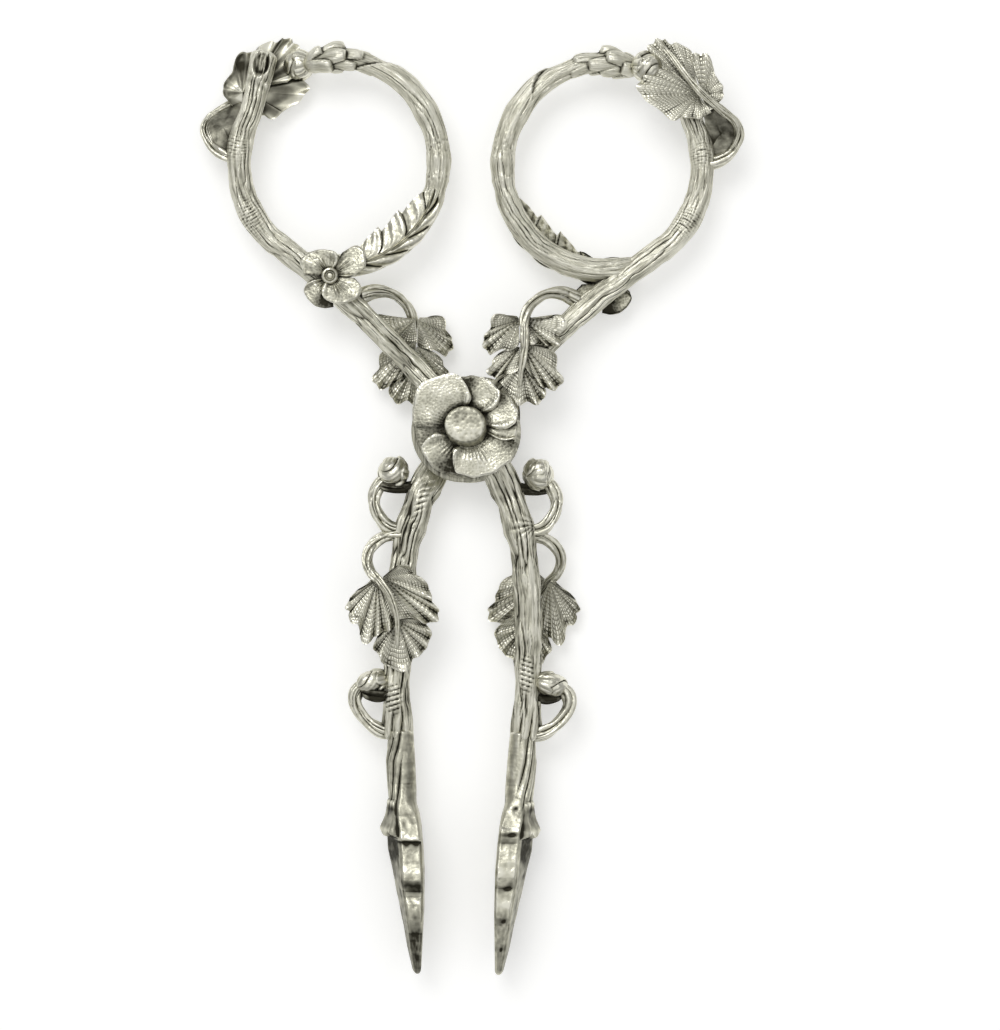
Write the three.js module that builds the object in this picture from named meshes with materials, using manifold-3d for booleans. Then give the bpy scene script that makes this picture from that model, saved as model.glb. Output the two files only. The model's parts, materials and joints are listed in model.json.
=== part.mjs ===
// Scissor-action sugar tongs in cast silver: two vine-branch arms that cross at a riveted pivot.
// Each arm has a finger ring at one end and a leaf-shaped grip at the other, and carries leaves, buds,
// tendrils and blossoms that are soldered on. Both arms come from one pattern: the rear arm is the front
// arm given half a turn about the long axis, so the front arm's leaves lie behind it and the rear arm's
// in front.
// Frame: millimetres, +Z up, the tongs lie flat. The origin is on the pivot axis, in the plane of the rear
// rivet head. +Y points to the finger rings. An arm is modelled about its own mid-plane, at Z = 0.

import * as THREE from "three";
import { mergeVertices } from "three/addons/utils/BufferGeometryUtils.js";
import Module from "manifold-3d";

const wasm = await Module();
wasm.setup();

// Clearances
const SEAT_GAP = 0.3; // between pieces that are soldered together
const ARM_GAP = 0.2; // between the two pivot bosses
const RIVET_CLEARANCE = 0.08; // radial, shank to bore
const SWING_CLEARANCE = 0.35; // between an arm and the other arm's boss and blossom

// Pivot
const BOSS_RADIUS = 6.5;
const BOSS_THICKNESS = 2.3;
const RIVET_RADIUS = 1.6;
const RIVET_HEAD_RADIUS = 2.9;
const RIVET_HEAD_HEIGHT = 0.9;
const RIVET_HEAD_ROUNDING = 0.3;

// Pivot blossom
const PIVOT_BLOSSOM_RADIUS = 7.1;
const PIVOT_BLOSSOM_PLATE = 1.0;
const PIVOT_PETALS = 5;
const PIVOT_PETAL_NOTCH = 0.5; // how far the gaps between petals cut in from the rim
const PIVOT_PETAL_SINK = 0.28; // of a petal's tucked edge, below the plate's top
const PIVOT_PETAL_RISE = 0.52; // of a petal's free edge, above the plate's top
const PIVOT_RIM_DROP = 0.3;
const PIVOT_PETAL_TURN = 0.3; // share of a petal by which the blossom is turned

// Bough: the main branch of an arm
const HANDLE_WIDTH = 3.3;
const JAW_WIDTH = 3.9;
const BOUGH_DEPTH = 3.2;
const LAP_RUN = 5.0; // beyond the boss, where the bough comes back to the arm's mid-plane
const NECK_BOW = 1.1; // how far the neck bows from a straight line between pivot and ring
const JAW_REACH = 42.0; // pivot to the end of the bark
const JAW_SPREAD = 8.6; // from the middle of the tongs to the end of the bark
const JAW_CURL = 4.5; // how early the jaw turns parallel to the middle
const JAW_BELLY = 0.35;
const SHOOT_LENGTH = 8.2; // the straight shoot that ends in the cut
const SHOOT_LEAN = 12; // degrees
const CUT_LENGTH = 3.4; // the oval face where the shoot was cut off
const CUT_WIDTH = 1.9;
const CUT_DEPTH = 0.9;
const BARK_RIDGE = 0.035; // share of the radius
const KNOT_SWELL = 0.1; // share of the radius
const KNOT_LENGTH = 2.2;
const RING_KNOTS = [28.5, 37.0]; // the ring's knots, along +Y
const JAW_KNOTS = [-13.4, -39.0];

// Finger ring
const FINGER_HOLE_WIDTH = 23.8;
const FINGER_HOLE_HEIGHT = 24.8;
const RING_BRANCH_WIDTH = 3.2;
const RING_BRANCH_DEPTH = 3.0;
const RING_SPACING = 5.4; // between the two rings, with the tongs a little open
const NECK_LENGTH = 21.6; // pivot to the ring's lowest point, along +Y

// Places round the ring, in degrees from +X
const SHOOT_AT = 152; // where the shoot leaves the ring
const NECK_AT = 238; // where the neck joins it
const BRANCH_FROM = 252; // where the ring branch leaves the bough
const BRANCH_TO = 462;
const SHEATH_FROM = 289;
const SHEATH_TO = 339;
const TAPER_FROM = 405; // where the branch starts to thin towards its knuckle
const TAPER_TO = 440;
const KNUCKLE_AT = 457;
const KNUCKLE_SPAN = 7;
const RING_TENDRIL_AT = 178;

// The ring branch's far end
const RING_TAPER_WIDTH = 2.5;
const KNUCKLE_WIDTH = 4.6;

// Sheath leaf on the ring branch
const SHEATH_THICKNESS = 0.7;
const SHEATH_INNER_FLARE = 1.7; // beyond the branch, towards the finger
const SHEATH_OUTER_FLARE = 0.7;
const SHEATH_LOBES = 4;
const SHEATH_SCALLOP = 0.55; // share of the flare

// Vine leaves
const LEAF_THICKNESS = 0.7;
const LEAF_RIM_THICKNESS = 0.42;
const LEAF_LOBES = 9;
const LEAF_NOTCH = 0.19; // share of the radius
const LEAF_SINUS = 0.3; // the deeper notch at the stalk, share of the radius
const LEAF_SINUS_SPREAD = 18; // degrees
const LEAF_WAIST = 0.13; // how much the leaf narrows between its side lobes and its tip, share of the radius
const LEAF_WAIST_AT = 43; // degrees from the tip
const LEAF_WAIST_SPREAD = 23; // degrees
const LEAF_CUP = 0.3;
const LEAF_PLEAT = 0.35;
const JAW_LEAF_RADIUS = 6.5;
const JAW_LEAF_AT = 25.3; // from the pivot, along the jaw
const JAW_LEAF_OFFSET = 0.5; // outwards from the bough's middle line
const JAW_LEAF_TURN = 257; // degrees, the way the tip points
const SHOULDER_LEAF_RADIUS = 6.1;
const SHOULDER_LEAF_SLIMNESS = 0.88; // width over length
const SHOULDER_LEAF_AT = 0.34; // share of the neck
const SHOULDER_LEAF_OFFSET = 0.4;
const SHOULDER_LEAF_TURN = 270;
const RING_LEAF_RADIUS = 5.6;
const RING_LEAF_AT = 3.2; // back from the cut end, along the shoot
const RING_LEAF_OFFSET = 1.0; // towards the finger
const RING_LEAF_TURN = 48;

// Tendrils: radii, roots and loops. A loop's bends are counted across and along from its root.
const SHOULDER_TENDRIL = 0.75;
const SHOULDER_TENDRIL_AT = 0.64; // share of the neck
const SHOULDER_LOOP = [[2.2, 2.4], [4.7, 2.9], [6.9, 1.4]];
const RING_TENDRIL = 0.6;
const RING_LOOP = [[-2.8, 1.0], [-4.5, 3.3], [-4.2, 6.0]];
const RING_WEB = 0.6; // thickness of the skin left in the ring tendril's loop
const UPPER_TENDRIL = 0.75;
const UPPER_TENDRIL_AT = 12.6; // from the pivot, along the jaw
const UPPER_LOOP = [[3.0, 0.1], [4.7, 1.4], [5.0, 3.4]];
const JAW_TENDRIL = 0.75;
const JAW_TENDRIL_AT = 14.7;
const JAW_LOOP = [[3.4, -0.1], [5.3, -1.7], [5.3, -3.8]];
const LOWER_TENDRIL = 0.8;
const LOWER_TENDRIL_AT = 1.6; // back from the end of the bark
const LOWER_LOOP = [[3.4, 0.2], [5.8, 2.2], [6.3, 4.6]];
const STALK_TAPER = 0.6; // radius at a leaf stalk's tip over that at its root
const STALK_ON_LEAF = [-0.95, -0.55, -0.15, 0.3]; // shares of the leaf's radius, from the stalk to the tip

// Buds, with the sepals that tie two of them to the bough
const UPPER_BUD_RADIUS = 2.05;
const UPPER_BUD_LENGTH = 4.6;
const UPPER_BUD_AT = 6.2; // from the pivot, along the jaw
const UPPER_BUD_OFFSET = 5.45; // from the bough's middle line
const UPPER_BUD_RISE = 0.7;
const UPPER_SEPAL_AT = 6.6;
const LOWER_BUD_RADIUS = 1.6;
const LOWER_BUD_LENGTH = 4.2;
const LOWER_BUD_AT = 8.4; // back from the end of the bark
const LOWER_BUD_OFFSET = 3.55;
const LOWER_BUD_RISE = -0.3;
const LOWER_SEPAL_AT = 6.4;
const BUD_FULLNESS = 0.18; // how much fuller a bud is behind its middle
const RING_BUD_RADIUS = 1.7;
const RING_BUD_LENGTH = 3.8;
const RING_BUD_DROP = 2.0; // below the arm's mid-plane, on the leaf's side
const SEPAL_RADIUS = 0.75;
const SEPAL_DROP = 0.5;
const SEPAL_OUT = 1.1; // how far a sepal runs past the middle of its bud

// Small blossom where the ring closes
const BLOSSOM_RADIUS = 4.7;
const BLOSSOM_PETALS = 4;
const BLOSSOM_PLATE = 0.8;
const BLOSSOM_RISE = 0.5;
const BLOSSOM_RIM_DROP = 0.2;
const BLOSSOM_NOTCH = 0.3; // share of the radius
const BLOSSOM_AT = 0.78; // share of the neck
const BLOSSOM_OFFSET = 1.0; // from the neck's middle line, towards the finger
const BLOSSOM_TURN = 42; // degrees
const BEAD_RADIUS = 1.15;
const BEAD_HEIGHT = 1.0;
const BEAD_DIMPLE = 0.35;

// Leaf-shaped grip
const GRIP_LENGTH = 31.4;
const GRIP_SHANK_WIDTH = 4.0;
const GRIP_SHANK_DEPTH = 3.2;
const GRIP_CURL_WIDTH = 4.8; // where the leaf's base curls out
const GRIP_LEAF_WIDTH = 4.1; // from gripping face to keel at the leaf's middle
const GRIP_TIP_WIDTH = 1.4;
const GRIP_BREADTH = 9.4; // across the leaf, along Z
const GRIP_TIP_BREADTH = 0.9;
const GRIP_EDGE = 2.2; // thickness of the leaf's edge
const GRIP_SET_IN = 3.7; // how far the gripping face lies inwards of the end of the bark
const GRIP_CUP = 0.5; // hollow of the gripping face
const GRIP_LOBES = 4;
const GRIP_NOTCH = 0.5;
const GRIP_SHANK_SHARE = 0.22; // of the grip's length
const GRIP_CURL_SHARE = 0.39;
const GRIP_LEAF_SHARE = 0.6;

// Fineness of the solids
const BOUGH_STEPS = 40;
const BOUGH_SIDES = 12;
const BRANCH_STEPS = 20;
const BRANCH_SIDES = 10;
const TENDRIL_STEPS = 12;
const TENDRIL_SIDES = 6;
const BUD_STOPS = 7;
const BUD_SIDES = 12;
const RIVET_SIDES = 20;
const COLUMN_SIDES = 40;
const SHEATH_STEPS = 16;
const GRIP_STEPS = 22;

// Heights worked out from the pivot's stack and the bough's depth, from an arm's mid-plane
const bossTop = ARM_GAP / 2 + BOSS_THICKNESS;
const blossomSeat = bossTop + SEAT_GAP;
const headSeat = blossomSeat + PIVOT_BLOSSOM_PLATE + SEAT_GAP;
const armHeight = headSeat + RIVET_HEAD_HEIGHT;
const boreRadius = RIVET_RADIUS + RIVET_CLEARANCE;
const barkTop = (Math.max(BOUGH_DEPTH, RING_BRANCH_DEPTH) / 2) * (1 + BARK_RIDGE);
const leafSeat = -(barkTop + SEAT_GAP);

// Finger ring's middle line, an ellipse beside the middle of the tongs
const ringRadiusX = (FINGER_HOLE_WIDTH + RING_BRANCH_WIDTH) / 2;
const ringRadiusY = (FINGER_HOLE_HEIGHT + RING_BRANCH_WIDTH) / 2;
const ringCentreX = -(RING_SPACING / 2 + RING_BRANCH_WIDTH / 2 + ringRadiusX);
const ringCentreY = NECK_LENGTH + ringRadiusY;

const { degToRad, lerp, smoothstep } = THREE.MathUtils;
const point = (x, y, z = 0) => new THREE.Vector3(x, y, z);
const bump = (distance, spread) => Math.exp(-((distance / spread) ** 2));

// Solids

function solidOf(geometry) {
  const bare = new THREE.BufferGeometry().setAttribute("position", geometry.getAttribute("position"));
  bare.setIndex(geometry.index);
  const merged = mergeVertices(bare, 1e-4);
  return new wasm.Manifold(
    new wasm.Mesh({
      numProp: 3,
      vertProperties: new Float32Array(merged.getAttribute("position").array),
      triVerts: new Uint32Array(merged.index.array),
    }),
  );
}

function geometryOf(solid) {
  const mesh = solid.getMesh();
  const geometry = new THREE.BufferGeometry();
  geometry.setAttribute("position", new THREE.BufferAttribute(mesh.vertProperties, 3));
  geometry.setIndex(new THREE.BufferAttribute(mesh.triVerts, 1));
  return geometry;
}

// A piece cut to seat against its neighbours: the largest body that is left.
function seated(piece, ...neighbours) {
  const cut = neighbours.reduce((rest, neighbour) => rest.subtract(neighbour), piece);
  return cut.decompose().sort((a, b) => b.volume() - a.volume())[0];
}

function fromFaces(vertices, faces) {
  const geometry = new THREE.BufferGeometry().setFromPoints(vertices);
  geometry.setIndex(faces.flat());
  return solidOf(geometry);
}

function middleOf(points) {
  return points.reduce((sum, p) => sum.add(p), point(0, 0)).divideScalar(points.length);
}

// A closed skin over sections of equally many points, counter-clockwise about the way ahead.
function loft(sections) {
  const count = sections[0].length;
  const vertices = [...sections.flat(), middleOf(sections[0]), middleOf(sections.at(-1))];
  const first = vertices.length - 2;
  const last = vertices.length - 1;
  const end = (sections.length - 1) * count;
  const faces = [];
  for (let k = 0; k < count; k++) {
    const next = (k + 1) % count;
    faces.push([first, next, k], [last, end + k, end + next]);
    for (let row = 0; row < end; row += count) {
      const ahead = row + count;
      faces.push([row + k, row + next, ahead + next], [row + k, ahead + next, ahead + k]);
    }
  }
  return fromFaces(vertices, faces);
}

// A rod along a route. halfWidth and halfDepth give its size at a share of its length and at a place, lift
// raises its middle line, and ridges run along it. grow makes it thicker all round, for seating cuts.
function rod(route, { halfWidth, halfDepth, lift = () => 0, steps, sides, ridge = 0, grow = 0 }) {
  const curve = new THREE.CatmullRomCurve3(route);
  const up = point(0, 0, 1);
  const ridges = sides / 2;
  const sections = [];
  for (let i = 0; i <= steps; i++) {
    const share = i / steps;
    const place = curve.getPointAt(share);
    const ahead = curve.getTangentAt(share);
    const across = up.clone().cross(ahead).normalize();
    const over = ahead.clone().cross(across);
    const middle = place.clone().addScaledVector(up, lift(place));
    const section = [];
    for (let k = 0; k < sides; k++) {
      const a = (2 * Math.PI * k) / sides;
      const bark = 1 + ridge * Math.cos(ridges * a);
      const out = (halfWidth(share, place) * bark + grow) * Math.cos(a);
      const rise = (halfDepth(share, place) * bark + grow) * Math.sin(a);
      section.push(middle.clone().addScaledVector(across, out).addScaledVector(over, rise));
    }
    sections.push(section);
  }
  return loft(sections);
}

// A round dish or plate about Z: reach gives its rim round the angle, top and bottom its two faces at a
// share of the way out. A bore leaves a hole in the middle. A flat underside needs one ring of faces only.
function dish({ around, rings, reach, top, bottom, flat = false, bore = 0 }) {
  const vertices = [];
  const layer = (height, count) => {
    const rows = [];
    for (let i = 0; i <= count; i++) {
      const share = i / count;
      rows.push(vertices.length);
      for (let k = 0; k < around; k++) {
        const a = (2 * Math.PI * k) / around;
        const r = lerp(bore, reach(a), share);
        vertices.push(point(r * Math.cos(a), r * Math.sin(a), height(share, a)));
      }
    }
    return rows;
  };
  const upper = layer(top, rings);
  const lower = layer(bottom, flat ? 1 : rings);
  const faces = [];
  const strip = (inner, outer) => {
    for (let k = 0; k < around; k++) {
      const next = (k + 1) % around;
      faces.push([inner + k, outer + k, outer + next], [inner + k, outer + next, inner + next]);
    }
  };
  for (let i = 1; i < upper.length; i++) {
    strip(upper[i - 1], upper[i]);
  }
  for (let i = 1; i < lower.length; i++) {
    strip(lower[i], lower[i - 1]);
  }
  strip(upper.at(-1), lower.at(-1));
  if (bore > 0) {
    strip(lower[0], upper[0]);
  }
  return fromFaces(vertices, faces);
}

// A revolved piece about Z from [radius, height] points that start and end on the axis.
function revolve(profile, sides) {
  const points = profile.map(([r, h]) => new THREE.Vector2(r, h));
  return solidOf(new THREE.LatheGeometry(points, sides).rotateX(Math.PI / 2));
}

// A round column on the pivot axis.
function column(radius, from, to) {
  return revolve([[0, from], [radius, from], [radius, to], [0, to]], COLUMN_SIDES);
}

function moved(solid, place, turn = new THREE.Matrix4()) {
  const matrix = new THREE.Matrix4().makeTranslation(place.x, place.y, place.z).multiply(turn);
  return solid.transform(matrix.elements);
}

// The turn that brings +Z to a direction.
function facing(direction) {
  const spin = new THREE.Quaternion().setFromUnitVectors(point(0, 0, 1), direction.clone().normalize());
  return new THREE.Matrix4().makeRotationFromQuaternion(spin);
}

// Eases through [share, value] pairs in order.
function eased(pairs, share) {
  for (let i = 1; i < pairs.length; i++) {
    const [from, low] = pairs[i - 1];
    const [to, high] = pairs[i];
    if (share <= to) {
      return lerp(low, high, smoothstep(share, from, to));
    }
  }
  return pairs.at(-1)[1];
}

// Middle lines of the bough: ring, neck, shoot and jaw

function ringPoint(degrees) {
  const a = degToRad(degrees);
  return point(ringCentreX + ringRadiusX * Math.cos(a), ringCentreY + ringRadiusY * Math.sin(a));
}

// A place on the neck, at a share of the way to the ring and an offset towards the finger.
function neckPoint(share, offset = 0) {
  const entry = ringPoint(NECK_AT);
  const bow = point(entry.y, -entry.x).normalize();
  const out = NECK_BOW * 4 * share * (1 - share) + offset;
  return entry.clone().multiplyScalar(share).addScaledVector(bow, out);
}

function shootPoint(length) {
  const lean = degToRad(SHOOT_LEAN);
  return ringPoint(SHOOT_AT).add(point(length * Math.sin(lean), length * Math.cos(lean)));
}

// A place on the jaw, at a distance from the pivot and an offset outwards.
function jawPoint(reach, offset = 0) {
  const share = reach / JAW_REACH;
  const turn = 1 - (1 - share) ** JAW_CURL;
  return point(JAW_SPREAD * turn + JAW_BELLY * Math.sin(Math.PI * share) + offset, -reach);
}

function boughRoute() {
  const spread = (count, place) => Array.from({ length: count }, (_, i) => place((i + 1) / count));
  return [
    shootPoint(SHOOT_LENGTH),
    shootPoint(SHOOT_LENGTH / 2),
    ringPoint(SHOOT_AT),
    ...spread(7, (share) => ringPoint(lerp(SHOOT_AT, NECK_AT, share))),
    ...spread(5, (share) => neckPoint(1 - share)),
    ...spread(8, (share) => jawPoint(JAW_REACH * share)),
  ];
}

// Bough

function knots(place) {
  const reaches = place.x < 0 ? RING_KNOTS : JAW_KNOTS;
  return 1 + KNOT_SWELL * reaches.reduce((sum, reach) => sum + bump(place.y - reach, KNOT_LENGTH), 0);
}

// How far a place is out of the pivot's lap: 0 on the boss, 1 where the bough has its full depth.
function outOfLap(place) {
  return smoothstep(Math.hypot(place.x, place.y), BOSS_RADIUS, BOSS_RADIUS + LAP_RUN);
}

// How far the bough's middle line lies above the arm's mid-plane.
function boughLift(place) {
  return (1 - outOfLap(place)) * (ARM_GAP / 2 + BOSS_THICKNESS / 2);
}

function boughRod(grow = 0) {
  const jawShare = (place) => smoothstep(-place.y, -BOSS_RADIUS, BOSS_RADIUS);
  return rod(boughRoute(), {
    halfWidth: (share, place) => (lerp(HANDLE_WIDTH, JAW_WIDTH, jawShare(place)) / 2) * knots(place),
    halfDepth: (share, place) => lerp(BOSS_THICKNESS, BOUGH_DEPTH, outOfLap(place)) / 2,
    lift: boughLift,
    steps: BOUGH_STEPS,
    sides: BOUGH_SIDES,
    ridge: BARK_RIDGE,
    grow,
  });
}

// The oval hollow where the shoot was cut off, on its front.
function cutFace() {
  const size = new THREE.Matrix4().makeScale(CUT_WIDTH / 2, CUT_LENGTH / 2, CUT_DEPTH);
  const turn = new THREE.Matrix4().makeRotationZ(-degToRad(SHOOT_LEAN)).multiply(size);
  const middle = shootPoint(SHOOT_LENGTH - CUT_LENGTH / 2).setZ(BOUGH_DEPTH / 2);
  return moved(solidOf(new THREE.SphereGeometry(1, 14, 8)), middle, turn);
}

function bough() {
  const boss = column(BOSS_RADIUS, ARM_GAP / 2, bossTop);
  const belowLap = column(BOSS_RADIUS + SWING_CLEARANCE, -armHeight, ARM_GAP / 2);
  const aboveLap = column(PIVOT_BLOSSOM_RADIUS + SEAT_GAP, bossTop, armHeight);
  const bore = column(boreRadius, -armHeight, armHeight);
  return boughRod().add(boss).subtract(belowLap).subtract(aboveLap).subtract(bore).subtract(cutFace());
}

// Finger ring

function ringBranchRod(grow = 0) {
  const stops = 12;
  const stop = (_, i) => ringPoint(lerp(BRANCH_FROM, BRANCH_TO, i / stops));
  const route = Array.from({ length: stops + 1 }, stop);
  const width = (share) => {
    const degrees = lerp(BRANCH_FROM, BRANCH_TO, share);
    const taper = lerp(RING_BRANCH_WIDTH, RING_TAPER_WIDTH, smoothstep(degrees, TAPER_FROM, TAPER_TO));
    return lerp(taper, KNUCKLE_WIDTH, bump(degrees - KNUCKLE_AT, KNUCKLE_SPAN));
  };
  return rod(route, {
    halfWidth: (share) => width(share) / 2,
    halfDepth: (share) => (width(share) / 2) * (RING_BRANCH_DEPTH / RING_BRANCH_WIDTH),
    steps: BRANCH_STEPS,
    sides: BRANCH_SIDES,
    ridge: BARK_RIDGE,
    grow,
  });
}

// A serrated leaf arched over the front of the ring branch.
function sheathLeaf() {
  const halfBranch = RING_BRANCH_WIDTH / 2;
  const archWidth = halfBranch + SHEATH_INNER_FLARE + SHEATH_THICKNESS;
  const crown = (RING_BRANCH_DEPTH / 2) * (1 + BARK_RIDGE) + SEAT_GAP;
  const sides = [-1, -0.66, -0.33, 0, 0.33, 0.66, 1];
  const sections = [];
  for (let i = 0; i <= SHEATH_STEPS; i++) {
    const share = i / SHEATH_STEPS;
    const middle = ringPoint(lerp(SHEATH_FROM, SHEATH_TO, share));
    const inwards = point(ringCentreX, ringCentreY).sub(middle).normalize();
    const fullness = Math.sin(Math.PI * lerp(0.16, 0.97, share)) ** 0.7;
    const scallop = 1 - SHEATH_SCALLOP * (1 - Math.abs(Math.sin(Math.PI * SHEATH_LOBES * share)));
    const face = (side, thickness) => {
      const flare = side > 0 ? SHEATH_INNER_FLARE : SHEATH_OUTER_FLARE;
      const across = side * fullness * (halfBranch + flare * scallop);
      const arch = Math.sqrt(1 - (across / (archWidth + thickness)) ** 2);
      return middle.clone().addScaledVector(inwards, across).setZ((crown + thickness) * arch);
    };
    const above = sides.map((side) => face(side, SHEATH_THICKNESS));
    const below = sides.map((side) => face(side, 0));
    sections.push([...below, ...above.reverse()]);
  }
  return loft(sections);
}

// Vine leaves, modelled with the tip along +X, the stalk at -X and the face that seats on the bough at Z = 0

function leafLobe(angle) {
  return Math.abs(Math.cos((LEAF_LOBES * angle) / 2));
}

function leafReach(radius, angle) {
  const fromTip = Math.PI - Math.abs(Math.PI - angle);
  const sinus = LEAF_SINUS * bump(Math.PI - fromTip, degToRad(LEAF_SINUS_SPREAD));
  const waist = LEAF_WAIST * bump(fromTip - degToRad(LEAF_WAIST_AT), degToRad(LEAF_WAIST_SPREAD));
  return radius * (1 - LEAF_NOTCH * (1 - leafLobe(angle) ** 0.7)) * (1 - sinus) * (1 - waist);
}

function leafRelief(share, angle) {
  return share ** 2 * (LEAF_CUP + LEAF_PLEAT * (1 - leafLobe(angle)));
}

function leafBack(share, angle) {
  return leafRelief(share, angle) + lerp(LEAF_THICKNESS, LEAF_RIM_THICKNESS, share);
}

function leaf(radius) {
  return dish({
    around: 4 * LEAF_LOBES,
    rings: 2,
    reach: (angle) => leafReach(radius, angle),
    top: (share, angle) => -leafRelief(share, angle),
    bottom: (share, angle) => -leafBack(share, angle),
  });
}

// A leaf in its place, and the line that its stalk follows over the outer face: along is a share of the
// radius, -1 at the stalk's end and 1 at the tip.
function placedLeaf(middle, tipDegrees, radius, slimness = 1) {
  const slim = new THREE.Matrix4().makeScale(1, slimness, 1);
  const turn = new THREE.Matrix4().makeRotationZ(degToRad(tipDegrees)).multiply(slim);
  const seat = middle.setZ(leafSeat);
  const stalk = (along, stalkRadius) => {
    const angle = along < 0 ? Math.PI : 0;
    const share = Math.min(1, Math.abs(along * radius) / leafReach(radius, angle));
    const height = -leafBack(share, angle) - SEAT_GAP - stalkRadius;
    return point(along * radius, 0, height).applyMatrix4(turn).add(seat);
  };
  return { solid: moved(leaf(radius), seat, turn), stalk };
}

const jawLeaf = placedLeaf(jawPoint(JAW_LEAF_AT, JAW_LEAF_OFFSET), JAW_LEAF_TURN, JAW_LEAF_RADIUS);
const shoulderLeaf = placedLeaf(
  neckPoint(SHOULDER_LEAF_AT, SHOULDER_LEAF_OFFSET),
  SHOULDER_LEAF_TURN,
  SHOULDER_LEAF_RADIUS,
  SHOULDER_LEAF_SLIMNESS,
);
const ringLeaf = placedLeaf(
  shootPoint(SHOOT_LENGTH - RING_LEAF_AT).add(point(RING_LEAF_OFFSET, 0)),
  RING_LEAF_TURN,
  RING_LEAF_RADIUS,
);

// Tendrils

function tendril(route, radius, tipRadius = radius, grow = 0) {
  const girth = (share) => lerp(radius, tipRadius, share);
  return rod(route, {
    halfWidth: girth,
    halfDepth: girth,
    steps: TENDRIL_STEPS,
    sides: TENDRIL_SIDES,
    grow,
  });
}

// The way of a leaf's stalk: from the bough's middle line, out round a loop and along the leaf's outer face.
function stalkRoute(root, loop, placed, radius) {
  const onLeaf = STALK_ON_LEAF.map((along) => placed.stalk(along, radius));
  const step = onLeaf[0].z / (loop.length + 1);
  const bends = loop.map(([x, y], i) => root.clone().add(point(x, y, step * (i + 1))));
  return [root, ...bends, ...onLeaf];
}

function leafStalk(route, radius) {
  return tendril(route, radius, radius * STALK_TAPER);
}

// A bud's stalk: from the bough's middle line, out round a loop and into the bud.
function budStalk(root, loop, budMiddle, radius) {
  const bends = loop.map(([x, y]) => root.clone().add(point(x, y)));
  return tendril([root, ...bends, budMiddle], radius);
}

const shoulderRoot = neckPoint(SHOULDER_TENDRIL_AT);
const shoulderRoute = stalkRoute(shoulderRoot, SHOULDER_LOOP, shoulderLeaf, SHOULDER_TENDRIL);
const ringRoute = stalkRoute(ringPoint(RING_TENDRIL_AT), RING_LOOP, ringLeaf, RING_TENDRIL);
const jawRoute = stalkRoute(jawPoint(JAW_TENDRIL_AT), JAW_LOOP, jawLeaf, JAW_TENDRIL);

// The skin in the loop between the ring tendril and the bough.
function ringWeb() {
  const rim = ringRoute.slice(0, RING_LOOP.length + 2);
  const half = point(0, 0, RING_WEB / 2);
  const upper = [middleOf(rim), ...rim].map((p) => p.clone().add(half));
  const lower = [middleOf(rim), ...rim].map((p) => p.clone().sub(half));
  const base = upper.length;
  const faces = [];
  for (let k = 1; k < base; k++) {
    const next = (k % rim.length) + 1;
    faces.push([0, next, k], [base, base + k, base + next]);
    faces.push([k, next, base + next], [k, base + next, base + k]);
  }
  return fromFaces([...upper, ...lower], faces);
}

// Buds

// An ovoid bud whose tip points along a direction.
function bud(middle, direction, radius, length, grow) {
  const profile = Array.from({ length: BUD_STOPS + 1 }, (_, i) => {
    const a = Math.PI * (i / BUD_STOPS - 0.5);
    const girth = i % BUD_STOPS === 0 ? 0 : Math.cos(a) * (1 - BUD_FULLNESS * Math.sin(a));
    return [(radius + grow) * girth, (length / 2 + grow) * Math.sin(a)];
  });
  return moved(revolve(profile, BUD_SIDES), middle, facing(direction));
}

// A sepal from a place on the bough's middle line, along the side of a bud and past its middle.
function sepal(root, budMiddle, budRadius, grow) {
  const start = root.clone().setZ(boughLift(root));
  const finish = budMiddle.clone().add(point(SEPAL_OUT, -budRadius, -SEPAL_DROP));
  return tendril([start, start.clone().lerp(finish, 0.5), finish], SEPAL_RADIUS, SEPAL_RADIUS, grow);
}

const upperBudMiddle = jawPoint(UPPER_BUD_AT, UPPER_BUD_OFFSET).add(point(0, UPPER_BUD_RISE));
const lowerBudMiddle = jawPoint(JAW_REACH - LOWER_BUD_AT, LOWER_BUD_OFFSET).add(point(0, LOWER_BUD_RISE));
const ringBudMiddle = ringPoint(BRANCH_TO).add(point(-RING_BUD_LENGTH / 2 - SEAT_GAP, 0, -RING_BUD_DROP));

function upperBud(grow = 0) {
  const ovoid = bud(upperBudMiddle, point(-0.96, -0.28), UPPER_BUD_RADIUS, UPPER_BUD_LENGTH, grow);
  return ovoid.add(sepal(jawPoint(UPPER_SEPAL_AT), upperBudMiddle, UPPER_BUD_RADIUS, grow));
}

function lowerBud(grow = 0) {
  const ovoid = bud(lowerBudMiddle, point(-0.93, 0.36), LOWER_BUD_RADIUS, LOWER_BUD_LENGTH, grow);
  return ovoid.add(sepal(jawPoint(JAW_REACH - LOWER_SEPAL_AT), lowerBudMiddle, LOWER_BUD_RADIUS, grow));
}

function ringBud(grow = 0) {
  return bud(ringBudMiddle, point(-1, 0, -0.25), RING_BUD_RADIUS, RING_BUD_LENGTH, grow);
}

function upperTendril() {
  return budStalk(jawPoint(UPPER_TENDRIL_AT), UPPER_LOOP, upperBudMiddle, UPPER_TENDRIL);
}

function lowerTendril() {
  return budStalk(jawPoint(JAW_REACH - LOWER_TENDRIL_AT), LOWER_LOOP, lowerBudMiddle, LOWER_TENDRIL);
}

// Small blossom where the ring closes

const blossomMiddle = neckPoint(BLOSSOM_AT, BLOSSOM_OFFSET).setZ(barkTop + SEAT_GAP);

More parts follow.
